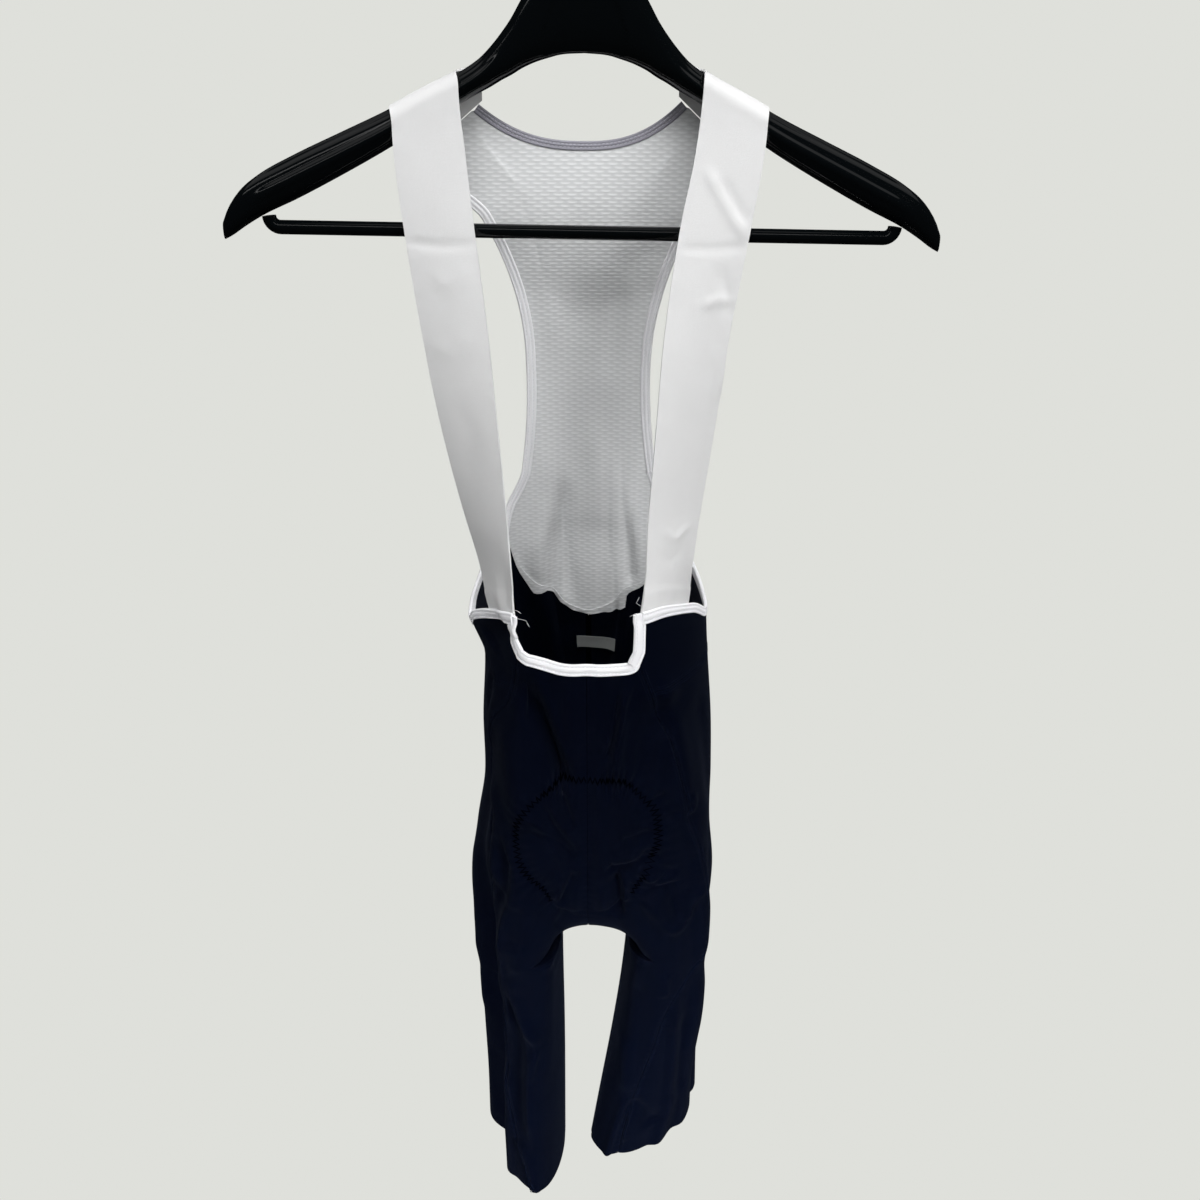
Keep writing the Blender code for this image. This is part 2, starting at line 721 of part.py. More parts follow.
def mesh_back(across, rise):
    """The mesh back: across from -1 to 1 between its side edges, rise from its sewn lower edge up."""
    across, rise = np.broadcast_arrays(np.asarray(across, float), np.asarray(rise, float))
    away = np.abs(across)
    side = np.where(across < 0, -1.0, 1.0)
    low, _ = by_half(sewn_edge, across)
    corner, _ = by_half(sewn_edge, side)
    high, tip = by_half(mesh_top, across), by_half(mesh_top, side)
    edge_height = corner[..., 2] + (tip[..., 2] - corner[..., 2]) * rise
    ratio = low[..., 0] / corner[..., 0]
    ratio = ratio + (high[..., 0] / tip[..., 0] - ratio) * rise
    x = through(MESH_ROWS, 1, edge_height) * ratio
    x = x + (np.abs(low[..., 0]) - x) * (1 - smooth(rise / MESH_HEM_BLEND))
    x = x + (np.abs(high[..., 0]) - x) * smooth(1 - (1 - rise) / MESH_TOP_BLEND)
    height = low[..., 2] + (high[..., 2] - low[..., 2]) * rise
    shift = through(MESH_ROWS, 2, height)
    depth = through(MESH_ROWS, 3, height)
    depth = depth + (through(MESH_ROWS, 4, height) - depth) * away**2
    depth = depth + (low[..., 1] - depth) * (1 - smooth(rise / MESH_DEPTH_BLEND))
    depth = depth + (high[..., 1] - depth) * smooth(1 - (1 - rise) / MESH_DEPTH_BLEND)
    return np.stack([side * x + shift, depth, height], axis=-1)


def mesh_facing(across, rise):
    """The mesh back's normal, towards the rear; at the sewn edge it is the back panel's."""
    over = mesh_back(np.minimum(across + EDGE_STEP, 1), rise)
    over = over - mesh_back(np.maximum(across - EDGE_STEP, -1), rise)
    up = mesh_back(across, np.minimum(rise + EDGE_STEP, 1))
    up = up - mesh_back(across, np.maximum(rise - EDGE_STEP, 0))
    normal = -np.cross(over, up)
    normal /= np.linalg.norm(normal, axis=-1, keepdims=True)
    _, sewn = by_half(sewn_edge, across)
    return np.where((rise < TINY)[..., None], sewn, normal)


def mesh_columns():
    """Columns of the mesh back, which meet those of the back panels."""
    return np.linspace(-1, 1, 2 * BACK_COLUMNS - 1)


def mesh_rises():
    """Rows of the mesh back, closer together towards its top."""
    return 1 - (1 - np.linspace(0, 1, MESH_LINES)) ** MESH_CROWDING


def make_mesh_back():
    across = mesh_columns()[None, :]
    rise = mesh_rises()[:, None]
    across, rise = np.broadcast_arrays(across, rise)
    wall("mesh_back", mesh_back(across, rise), mesh_facing(across, rise), CLOTH, WHITE)


def beside(path, normals, towards):
    """Unit directions square to a path within the cloth; the first one leans towards the vector."""
    along = np.gradient(path, axis=0)
    away = np.cross(along, normals)
    away /= np.linalg.norm(away, axis=1, keepdims=True)
    return away * np.sign(away[0] @ towards)


def scoop_side(half):
    """Stations and levels of the yoke's inner edge above the scoop's corner, from its top down."""
    station, level = yoke_grid(half)
    return station[:1:-1, 0], level[:1:-1, 0]


def make_front_binding():
    """The strip round the scoop: down the left yoke, along both front panels and up the right yoke."""
    path, normals = [], []
    for half in HALVES:
        part = np.linspace(1, 0, FRONT_COLUMNS)
        top = scoop_edge(part)
        side_station, side_level = scoop_side(half)
        seam = front_seam(half, top)
        seam = seam + hug(half, seam, top, -1)
        station = np.concatenate([side_station, part * seam])
        level = np.concatenate([side_level, top])
        points, faces = shorts(half, station, level), outward(half, station, level)
        if half == "r":
            points, faces = points[-2::-1], faces[-2::-1]
        path.append(points)
        normals.append(faces)
    path, normals = np.concatenate(path), np.concatenate(normals)
    across = beside(path, normals, np.array([1.0, 0, 0]))
    band("binding_front", path, normals, across, WAIST_BINDING, BINDING, WHITE)


def under_strap(half, mesh_end, strap_end):
    """The direction along the strap's rear end, from the mesh's corner towards the strap's."""
    from_corner = strap_rear(half, MESH_ON_STRAP[mesh_end : mesh_end + 1])[0]
    to_corner = strap_rear(half, np.array([float(strap_end)]))[0]
    return (to_corner - from_corner) / np.linalg.norm(to_corner - from_corner)


def side_edge(half):
    """The armhole's edge: over the yoke from the strap's inner corner, then up the mesh back."""
    station, level = yoke_grid(half)
    path = shorts(half, station[-1], level[-1])
    normals = outward(half, station[-1], level[-1])
    start = path[0] - path[1]
    start *= STRAP_OVERHANG / np.linalg.norm(start)
    rise = mesh_rises()[1:]
    side = np.full_like(rise, HALVES[half])
    path = np.concatenate([path[:1] + start, path, mesh_back(side, rise)])
    normals = np.concatenate([normals[:1], normals, mesh_facing(side, rise)])
    across = beside(path, normals, np.array([0, 0, 1.0]))
    across[-1] = under_strap(half, 1, 1)
    taper = smooth((path[:, 2] - BACK_PEAK) / BINDING_TAPER)
    width = WAIST_BINDING + (MESH_BINDING - WAIST_BINDING) * taper
    return path, normals, across, width[:, None]


def make_side_binding(half):
    path, normals, across, width = side_edge(half)
    band("binding_side_" + half, path, normals, across, width, BINDING, WHITE)


def strap_grid(half):
    """The strap from the armhole binding, up the front, over the arm and down behind it."""
    path, _, across, width = side_edge(half)
    sewn = (path + across * (width + 2 * SEAM_GAP))[:STRAP_COLUMNS]
    run = np.concatenate([[0], np.cumsum(np.linalg.norm(np.diff(sewn, axis=0), axis=1))])
    part = run / run[-1]
    rows = [sewn]
    for height in np.linspace(STRAPS[half][-1, 0], STRAPS[half][0, 0], STRAP_LINES):
        inner_x, inner_y, outer_x, outer_y = (
            through(STRAPS[half], column, height) for column in range(1, 5)
        )
        rows.append(np.stack([
            HALVES[half] * (inner_x + (outer_x - inner_x) * part),
            inner_y + (outer_y - inner_y) * part,
            np.full_like(part, height),
        ], axis=-1))
    for turn in np.linspace(0, math.pi, HANGER_AROUND // 2 + 1):
        rows.append(on_hanger(strap_on_arm(half, part, turn)))
    rows.append(strap_rear(half, part))
    return np.stack(rows)


def grid_normals(grid):
    """Normals of a grid of points, from its own rows and columns."""
    normal = np.cross(np.gradient(grid, axis=1), np.gradient(grid, axis=0))
    return normal / np.linalg.norm(normal, axis=-1, keepdims=True)


def make_strap(half):
    grid = strap_grid(half)
    wall("strap_" + half, grid, grid_normals(grid), ELASTIC, WHITE)


def centre_part(level, out, behind):
    """Points and normals of the shorts at this height and distance out, either side of the centre."""
    def on_half(half, across):
        station = station_at(half, level, np.abs(across), behind)
        return shorts(half, station, level), outward(half, station, level)

    return by_half(on_half, out)


def fork_line(out):
    """Points and normals along the ridge between the legs, where both inseams meet."""
    def on_half(half, across):
        ridge = INSEAM[half][:RIDGE_ROWS, [1, 0]]
        level = through(ridge, 1, np.abs(across))
        station = np.zeros_like(across)
        return shorts(half, station, level), outward(half, station, level)

    return by_half(on_half, out)


def make_pad():
    """The seat pad inside the shorts, from the front, under the fork and up the back."""
    part = np.linspace(-1, 1, PAD_COLUMNS)
    rows, faces = [], []
    for outline, behind in ((PAD_FRONT, False), (PAD_BACK, True)):
        tip = outline[0, 0]
        levels = shared_levels("l")
        levels = levels[(levels > CROTCH) & (levels < tip - PAD_TIP)]
        levels = np.concatenate([[tip, tip - PAD_TIP], levels[::-1]])
        half_widths = through(outline, 1, levels)
        pairs = [
            centre_part(np.full_like(part, level), part * half_width, behind)
            for level, half_width in zip(levels, half_widths)
        ]
        if behind:
            pairs = pairs[::-1]
        else:
            pairs.append(fork_line(part * outline[-1, 1]))
        rows += [points for points, _ in pairs]
        faces += [normals for _, normals in pairs]
    rows, faces = np.stack(rows), np.stack(faces)
    inside = rows - faces * (CLOTH / 2 + PAD_CLEARANCE + PAD / 2)
    wall("seat_pad", inside, faces, PAD, FOAM)


def make_label():
    """A plain size label inside the back, across the centre seam."""
    width, height = LABEL_SIZE
    out, drop = np.meshgrid(np.linspace(0, width, LABEL_COLUMNS), [0, height])
    level = LABEL_TOP - drop - LABEL_SLANT * out
    out = out + LABEL_LEFT
    points, normals = centre_part(level, out, True)
    grid = points - normals * (CLOTH / 2 + SEAM_GAP + LABEL / 2)
    wall("size_label", grid, normals, LABEL, GREY)


def make_hanger_arms():
    out = HANGER_ROWS[:, 0]
    out = np.concatenate([-out[:0:-1], out])[:, None]
    turn = np.linspace(0, 2 * math.pi, HANGER_AROUND + 1)[None, :-1]
    loop_tube("hanger_arms", on_hanger(arm_section(out, turn)), PLASTIC)


def make_hanger_bar():
    """The trouser bar, whose ends turn up to the arms."""
    swing = np.linspace(0, math.pi / 2, BAR_BEND_POINTS)
    rise, inward = BAR_BEND * (1 - np.sin(swing)), BAR_BEND * (1 - np.cos(swing))
    left = np.stack([
        inward - BAR_HALF_LENGTH,
        np.full_like(swing, BAR_DEPTH),
        BAR_HEIGHT + rise,
    ], axis=-1)
    right = left[::-1] * np.array([-1, 1, 1])
    path = on_hanger(np.concatenate([left, right]))
    round_bar("hanger_bar", path, BAR_RADIUS, BAR_AROUND, PLASTIC)


def make_hanger_hook():
    """The wire hook: a stem out of the neck, then the bend whose inside is the origin."""
    foot = on_hanger([(0, 0, NECK_TOP + SEAM_GAP)])
    stem = foot + HOOK_STEM
    bend = np.radians(np.linspace(*HOOK_ARC, HOOK_POINTS))
    radius = HOOK_BEND + HOOK_WIRE
    circle = np.stack([
        radius * np.cos(bend),
        np.zeros_like(bend),
        radius * np.sin(bend) - HOOK_BEND,
    ], axis=-1)
    round_bar("hanger_hook", np.concatenate([stem, circle]), HOOK_WIRE, HOOK_AROUND, STEEL)


def make_neck_binding():
    across = mesh_columns()
    across = across[np.abs(across) < NECK_PART + 0.01]
    rise = np.ones_like(across)
    path = mesh_back(across, rise)
    normals = mesh_facing(across, rise)
    up = beside(path, normals, np.array([0, 0, 1.0]))
    up[0] = under_strap("l", 0, 0)
    up[-1] = under_strap("r", 0, 0)
    band("binding_neck", path, normals, up, MESH_BINDING, BINDING, LAVENDER)


def main():
    for old in list(bpy.data.objects):
        bpy.data.objects.remove(old, do_unlink=True)
    for half in HALVES:
        make_panels(half)
        make_yoke(half)
        make_side_binding(half)
        make_strap(half)
    make_mesh_back()
    make_front_binding()
    make_neck_binding()
    make_pad()
    make_label()
    make_hanger_arms()
    make_hanger_bar()
    make_hanger_hook()


main()
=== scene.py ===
# %% [markdown]
# # Cycling bib shorts on a clothes hanger
# A pair of bib shorts hangs from a plastic hanger. The shorts are cut from navy stretch knit in eight
# panels, a white knitted mesh forms the back, two elastic straps carry the weight over the hanger's
# arms, and folded bindings finish every open edge. This file builds each piece as a thin shell from
# level sections, lays the creases on, sews the seams and gives everything a procedural cloth,
# elastic, plastic or steel.

# %% Load the frame
import math

import bpy
import numpy as np
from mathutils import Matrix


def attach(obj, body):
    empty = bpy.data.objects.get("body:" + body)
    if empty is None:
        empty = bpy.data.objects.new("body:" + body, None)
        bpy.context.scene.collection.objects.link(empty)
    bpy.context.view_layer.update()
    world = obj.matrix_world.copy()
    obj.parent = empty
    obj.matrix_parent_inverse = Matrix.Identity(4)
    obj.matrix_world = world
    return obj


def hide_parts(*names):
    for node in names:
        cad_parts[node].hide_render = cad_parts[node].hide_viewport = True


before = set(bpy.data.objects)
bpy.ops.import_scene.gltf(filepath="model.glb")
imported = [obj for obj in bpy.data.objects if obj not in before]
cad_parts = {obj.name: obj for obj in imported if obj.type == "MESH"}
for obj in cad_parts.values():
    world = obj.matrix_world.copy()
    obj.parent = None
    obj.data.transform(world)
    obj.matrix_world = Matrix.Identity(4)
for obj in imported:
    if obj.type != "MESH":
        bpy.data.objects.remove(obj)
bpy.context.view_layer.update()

# %% [markdown]
# ## Camera
# The garment is seen from a little above, so the view looks down into the waist. The camera is placed
# once, in the garment's own frame, whose origin is the inside of the hook's bend. Its pitch and lens are
# plain numbers here; an empty to look at would do the same, but numbers are easier to measure from.

# %% Place the camera
MM = 0.001
CAMERA_PLACE = (9.3, -770.0, -138.0)
CAMERA_PITCH = 25.8
CAMERA_LENS = 34.5
SENSOR_WIDTH = 36

camera_data = bpy.data.cameras.new("camera")
camera_data.sensor_width = SENSOR_WIDTH
camera_data.lens = CAMERA_LENS
camera = bpy.data.objects.new("camera", camera_data)
camera.location = [value * MM for value in CAMERA_PLACE]
camera.rotation_euler = (math.radians(90 - CAMERA_PITCH), 0, 0)
bpy.context.scene.collection.objects.link(camera)
bpy.context.scene.camera = camera
print("camera at", CAMERA_PLACE, "mm")

# %% [markdown]
# ## Curves through tables
# Every form here is described by a short table: one row for each section, one column for each
# measure. A curve drawn through a column gives the value between two rows, so that a few rows are
# enough for a smooth garment. All tables are in millimetres.


# %% Helpers: easing and curves
def smooth(value):
    """Ease from 0 to 1, flat at both ends."""
    value = np.clip(value, 0.0, 1.0)
    return value * value * (3 - 2 * value)


def bell(value, width):
    """1 at a value of 0, dying away to both sides over the width."""
    return np.exp(-((value / width) ** 2))


def through(rows, column, at):
    """A smooth curve through one column of a table, read at the given first-column values."""
    rows = rows[np.argsort(rows[:, 0])]
    knots = rows[:, 0]
    values = rows[:, column]
    steps = np.diff(values) / np.diff(knots)
    slopes = np.concatenate([steps[:1], (steps[:-1] + steps[1:]) / 2, steps[-1:]])
    turning = np.concatenate([[False], steps[:-1] * steps[1:] <= 0, [False]])
    slopes[turning] = 0
    at = np.clip(at, knots[0], knots[-1])
    index = np.clip(np.searchsorted(knots, at) - 1, 0, len(knots) - 2)
    span = knots[index + 1] - knots[index]
    part = (at - knots[index]) / span
    start = (1 + 2 * part) * (1 - part) ** 2 * values[index]
    end = part**2 * (3 - 2 * part) * values[index + 1]
    bend = part * (1 - part) * span * ((1 - part) * slopes[index] - part * slopes[index + 1])
    return start + end + bend


def bezier(part, first, second, third, fourth):
    """A curve between the first and the fourth value, drawn towards the two between."""
    rest = 1 - part
    return rest**3 * first + 3 * rest**2 * part * second + 3 * rest * part**2 * third + part**3 * fourth


def unit(vectors):
    return vectors / np.maximum(np.linalg.norm(vectors, axis=-1, keepdims=True), 1e-9)


def cumulative(points):
    """Distance along the second-last axis, from 0."""
    steps = np.linalg.norm(np.diff(points, axis=-2), axis=-1)
    return np.concatenate([np.zeros(steps.shape[:-1] + (1,)), np.cumsum(steps, axis=-1)], axis=-1)


# %% [markdown]
# ## The hanging form
# Each half of the shorts, "l" at -X and "r" at +X, is a stack of level sections. A section has four
# quarter arcs: centre front to the foremost point, on to the side, on to the hindmost point, and back
# to the centre. The station counts them from 0 to 1. The left leg hangs lower and further forward than
# the right one, so each half has its own rows. A cloth simulation could drape the panels too, but it
# never stops exactly where the real pair hangs; sections put each part of the cloth where it belongs.

# %% Sizes of the shorts
HALVES = {"l": -1, "r": 1}
ELASTIC = 1.3
SEAM_GAP = 0.3

# Widths of the bindings. A side binding narrows over the first length as it climbs the mesh, and is as
# wide as the waist's where it starts under the strap
WAIST_BINDING = 8.0
MESH_BINDING = 6.0
SIDE_BINDING = 6.2
NECK_BINDING = 4.8
BINDING_TAPER = 40.0
SIDE_TAPER = 45.0

# Heights, from the hook down
SCOOP = -527.0
YOKE_SEAM = -543.0
HIP_LINE = -565.0
CROTCH = -784.0
INSEAM_FULL = -803.0
LEG_TOP = -812.0
HEM = {"l": -1035.0, "r": -1008.0}

# Rise of the scoop's corners and how suddenly they rise
SCOOP_CORNER = {"l": 11.0, "r": 7.0}
SCOOP_TURN = {"l": 2.2, "r": 14}
SCOOP_BLEND = 10.0

# Fullness of the curves. Near the fork the front corner swells, over these heights above and below it
ROUND = 0.55
REAR_ROUND = 0.15
FORK_REACH = (22.0, 45.0)
FORK_CORNER = (0.8, 0.95)
# The leg's inner side begins at this share of the inseam's way out, and is whole after this much more
LEG_FORMS = (0.7, 0.3)

# The centre seam: height, depth of its front run, depth of its back run
CENTRE = np.array([
    (-480, -82, 54),
    (-545, -83, 61),
    (-620, -85, 66),
    (-690, -86, 65),
    (-730, -82, 55),
    (-756, -71, 38),
    (-772, -51, 16),
    (CROTCH, -15 - SEAM_GAP / 2, -15 + SEAM_GAP / 2),
])

# The inseam of each leg: height, distance from the centre plane, depth
INSEAM = {
    "l": np.array([
        (CROTCH, SEAM_GAP / 2, -15),
        (-784.5, 9, -15),
        (-785.2, 17, -16),
        (-786.6, 21.5, -17),
        (-803, 22.5, -20),
        (-900, 22, -26),
        (HEM["l"], 23, -30),
    ]),
    "r": np.array([
        (CROTCH, SEAM_GAP / 2, -15),
        (-784.2, 15, -15),
        (-784.6, 27, -16),
        (-785.4, 33, -18),
        (-803, 32.5, -22),
        (-900, 20, -40),
        (HEM["r"], 2, -56),
    ]),
}

# Level sections of each half: height, foremost point (out, depth),
# side point (out, depth), hindmost point (out, depth), fullness of the front corner
SECTIONS = {
    "l": np.array([
        (-480, 41, -81, 86, -4, 44, 54, 0.18),
        (-512, 41, -82, 88, -8, 44, 58, 0.2),
        (-545, 42, -83, 77, -10, 44, 61, 0.35),
        (-600, 42, -85, 80, -12, 46, 66, 0.5),
        (-650, 44, -88, 81, -14, 48, 68, 0.55),
        (-700, 46, -89, 89, -14, 50, 66, 0.55),
        (-750, 48, -89, 93, -14, 52, 61, 0.55),
        (-800, 48, -88, 91, -15, 52, 56, 0.55),
        (-870, 46, -88, 92, -14, 52, 53, 0.5),
        (-950, 45, -91, 92, -11, 53, 52, 0.42),
        (HEM["l"], 45, -94, 93, -8, 54, 50, 0.36),
    ]),
    "r": np.array([
        (-480, 34, -80, 87, -6, 44, 54, 0.25),
        (-512, 35, -81, 88, -9, 44, 58, 0.28),
        (-545, 36, -82, 90, -10, 46, 61, 0.4),
        (-600, 40, -84, 94, -12, 48, 66, 0.5),
        (-650, 44, -86, 96, -13, 50, 68, 0.55),
        (-700, 46, -86, 98, -13, 52, 66, 0.55),
        (-750, 50, -84, 102, -13, 54, 61, 0.55),
        (-800, 54, -82, 100, -13, 54, 56, 0.55),
        (-870, 50, -79, 98, -12, 54, 52, 0.55),
        (-950, 38, -77, 97, -11, 54, 50, 0.45),
        (HEM["r"], 28, -77, 98, -10, 54, 48, 0.34),
    ]),
}


# %% The level sections
def bare_section(half, station, level):
    """The cloth's middle surface before its folds, as points (x, y, z)."""
    station, level = np.broadcast_arrays(np.asarray(station, float), np.asarray(level, float))
    rows = SECTIONS[half]
    front_x, front_y, side_x, side_y, back_x, back_y, corner = (
        through(rows, column, level) for column in range(1, 8)
    )
    in_leg = level < CROTCH
    inner_x = np.where(in_leg, through(INSEAM[half], 1, level), SEAM_GAP / 2)
    full = float(through(INSEAM[half], 1, np.array(INSEAM_FULL)))
    leg = np.where(level > INSEAM_FULL, smooth((inner_x / full - LEG_FORMS[0]) / LEG_FORMS[1]), 1.0)
    fork_reach = np.where(in_leg, FORK_REACH[1], FORK_REACH[0])
    near_fork = bell(level - CROTCH, fork_reach)
    inseam_y = through(INSEAM[half], 2, level)
    inner_front = np.where(in_leg, inseam_y - SEAM_GAP / 2, through(CENTRE, 1, level))
    inner_back = np.where(in_leg, inseam_y + SEAM_GAP / 2, through(CENTRE, 2, level))
    turn = full + (full - inner_x) / 3
    out, depth = np.empty_like(level), np.empty_like(level)
    quarter = np.clip(np.floor(station * 4), 0, 3)
    part = station * 4 - quarter
    run = front_x - inner_x
    rise = inner_front - front_y
    back_run = back_x - inner_x
    corner_x = front_x - ROUND * run
    corner_x = corner_x + (front_x - FORK_CORNER[0] * (front_x - full) - corner_x) * near_fork
    reach = ROUND + (FORK_CORNER[1] - ROUND) * near_fork

    def beside_inseam(span):
        """The control point next to the inner edge: the cloth turns forward where the leg begins."""
        body = inner_x + ROUND * span
        body = body + (turn - body) * near_fork
        return np.where(in_leg, inner_x + (turn - inner_x) * (1 - leg), body)

    arcs = [
        (
            (inner_x, beside_inseam(run), corner_x, front_x),
            (inner_front, inner_front - reach * leg * rise, front_y, front_y),
        ),
        (
            (front_x, front_x + corner * (side_x - front_x), side_x, side_x),
            (front_y, front_y, side_y - corner * (side_y - front_y), side_y),
        ),
        (
            (side_x, side_x, back_x + ROUND * (side_x - back_x), back_x),
            (side_y, side_y + ROUND * (back_y - side_y), back_y, back_y),
        ),
        (
            (back_x, back_x - ROUND * back_run, beside_inseam(back_run), inner_x),
            (back_y, back_y, inner_back + REAR_ROUND * leg * (back_y - inner_back), inner_back),
        ),
    ]
    for number, (across, along) in enumerate(arcs):
        here = quarter == number
        out = np.where(here, bezier(part, *across), out)
        depth = np.where(here, bezier(part, *along), depth)
    return np.stack([HALVES[half] * out, depth, level], axis=-1)


waist = float(bare_section("l", 0.5, -512.0)[0])
print("waist section of the left half is", round(waist, 1), "mm out")

# %% Which way the cloth faces
STATION_STEP = 0.004
LEVEL_STEP = 1.5


def facing(surface, half, station, level, step=STATION_STEP):
    """The unit normal that points out of the garment."""
    across = surface(half, np.minimum(station + step, 1), level)
    across = across - surface(half, np.maximum(station - step, 0), level)
    up = surface(half, station, level + LEVEL_STEP) - surface(half, station, level - LEVEL_STEP)
    return unit(np.cross(across, up) * HALVES[half])


# %% [markdown]
# ## Folds and creases
# A stretch knit that hangs empty shows two kinds of relief. Broad folds run most of the garment's
# length, and shape its outline. Creases are shorter and sharper: they fan out from the seat pad, whose
# stitching draws the cloth in, and they break along the sides where the cloth was folded in a drawer.
# Sculpting can't be repeated exactly, and a noise texture never follows a seam. So each crease is a line
# laid over the cloth by its height and station, with its own width and depth.

# %% Broad folds
# Half, upper end (height, station), lower end (height, station), half width, height
FOLDS = [
    ("l", -534, 0.27, -626, 0.06, 11, -7.0),
    ("l", -560, 0.34, -664, 0.24, 14, 4.0),
    ("l", -690, 0.4, -1035, 0.415, 11, -15.0),
    ("l", -560, 0.44, -800, 0.44, 8, -5.0),
    ("l", -600, 0.74, -1000, 0.8, 16, -7.0),
    ("l", -560, 0.9, -652, 0.91, 14, -5.0),
    ("r", -545, 0.21, -624, 0.11, 8, 4.0),
    ("r", -545, 0.33, -636, 0.22, 12, -5.0),
    ("r", -560, 0.38, -960, 0.42, 11, 5.0),
    ("r", -640, 0.46, -1008, 0.48, 8, -6.0),
    ("r", -870, 0.12, -940, 0.22, 12, 2.0),
    ("r", -590, 0.72, -1000, 0.76, 15, -8.0),
    ("r", -562, 0.87, -652, 0.88, 12, -5.0),
]
STATION_LENGTH = 270.0
FOLD_FADE = 0.25
SEAM_FADE = 0.04

# %% Creases on the front
# (height, station) of each bend, half width, height of the ridge (a trough is negative)
CREASES = {}
CREASES["l"] = [
    # the deep trough under the left end of the scoop, and the ridge beside it
    ([(-523, 0.275), (-543, 0.24), (-566, 0.195), (-590, 0.125), (-616, 0.055)], 6.5, -3.8),
    ([(-526, 0.232), (-545, 0.2), (-566, 0.15), (-592, 0.085), (-610, 0.04)], 4.0, 1.8),
    ([(-534, 0.064), (-564, 0.051), (-600, 0.035)], 6.0, 1.0),
    ([(-495, 0.33), (-508, 0.36), (-520, 0.39)], 5.0, -2.6),
    ([(-528, 0.42), (-540, 0.367), (-559, 0.376), (-583, 0.399), (-604, 0.406)], 3.5, 2.4),
    ([(-545, 0.4), (-570, 0.43), (-610, 0.42)], 3.0, -1.8),
    # the fan of creases round the seat pad, left
    ([(-606, 0.15), (-616, 0.135), (-628, 0.12)], 2.2, -1.0),
    ([(-606, 0.115), (-618, 0.095), (-630, 0.085)], 2.0, -0.9),
    ([(-618, 0.1), (-636, 0.069), (-654, 0.036)], 3.2, -1.8),
    ([(-626, 0.23), (-651, 0.15), (-671, 0.052), (-686, 0.012)], 4.2, -2.4),
    ([(-640, 0.245), (-662, 0.17), (-684, 0.06)], 4.5, 1.5),
    ([(-645, 0.262), (-656, 0.215), (-669, 0.105), (-682, 0.03)], 3.4, -2.2),
    ([(-690, 0.03), (-703, 0.055), (-716, 0.085), (-724, 0.108)], 3.6, -2.2),
    ([(-694, 0.1), (-708, 0.12), (-720, 0.14)], 4.0, 1.4),
    ([(-730, 0.06), (-742, 0.09), (-752, 0.13)], 6.0, -1.6),
    # the side of the left leg, folded against itself
    ([(-622, 0.384), (-637, 0.373), (-651, 0.35), (-671, 0.352), (-697, 0.35), (-713, 0.32),
       (-722, 0.287)], 3.2, 2.6),
    ([(-640, 0.4), (-668, 0.38), (-700, 0.385), (-740, 0.36)], 3.0, -2.0),
    ([(-655, 0.318), (-676, 0.303), (-689, 0.282), (-713, 0.283), (-736, 0.3), (-759, 0.311),
       (-785, 0.315)], 3.0, 2.8),
    ([(-664, 0.34), (-690, 0.318), (-715, 0.318), (-740, 0.335), (-770, 0.345)], 4.0, -2.8),
    ([(-717, 0.242), (-743, 0.257), (-768, 0.273), (-800, 0.285)], 4.5, 2.2),
    ([(-722, 0.272), (-745, 0.284), (-768, 0.292)], 4.0, -2.0),
    ([(-790, 0.292), (-815, 0.3), (-841, 0.281), (-856, 0.257), (-872, 0.222)], 3.2, 2.4),
    ([(-868, 0.222), (-887, 0.252), (-909, 0.272), (-940, 0.277), (-975, 0.28)], 3.4, 2.4),
    ([(-812, 0.325), (-850, 0.312), (-880, 0.3), (-930, 0.305), (-985, 0.305)], 6.0, -4.0),
    ([(-723, 0.309), (-763, 0.322), (-798, 0.322), (-833, 0.33), (-871, 0.335)], 2.6, 2.2),
    ([(-984, 0.324), (-990, 0.298), (-1005, 0.279), (-1033, 0.262)], 2.8, 2.0),
    ([(-905, 0.345), (-960, 0.35), (-1035, 0.355)], 4.0, 3.0),
    ([(-738, 0.18), (-823, 0.17), (-930, 0.195)], 11.0, 1.6),
    ([(-832, 0.43), (-842, 0.445), (-866, 0.435)], 3.0, -1.6),
    ([(-760, 0.44), (-800, 0.45), (-850, 0.462), (-900, 0.455)], 3.2, 2.2),
    ([(-700, 0.455), (-760, 0.47), (-840, 0.478)], 4.0, 2.4),
    ([(-925, 0.445), (-970, 0.455), (-1018, 0.45)], 3.6, -2.0),
]
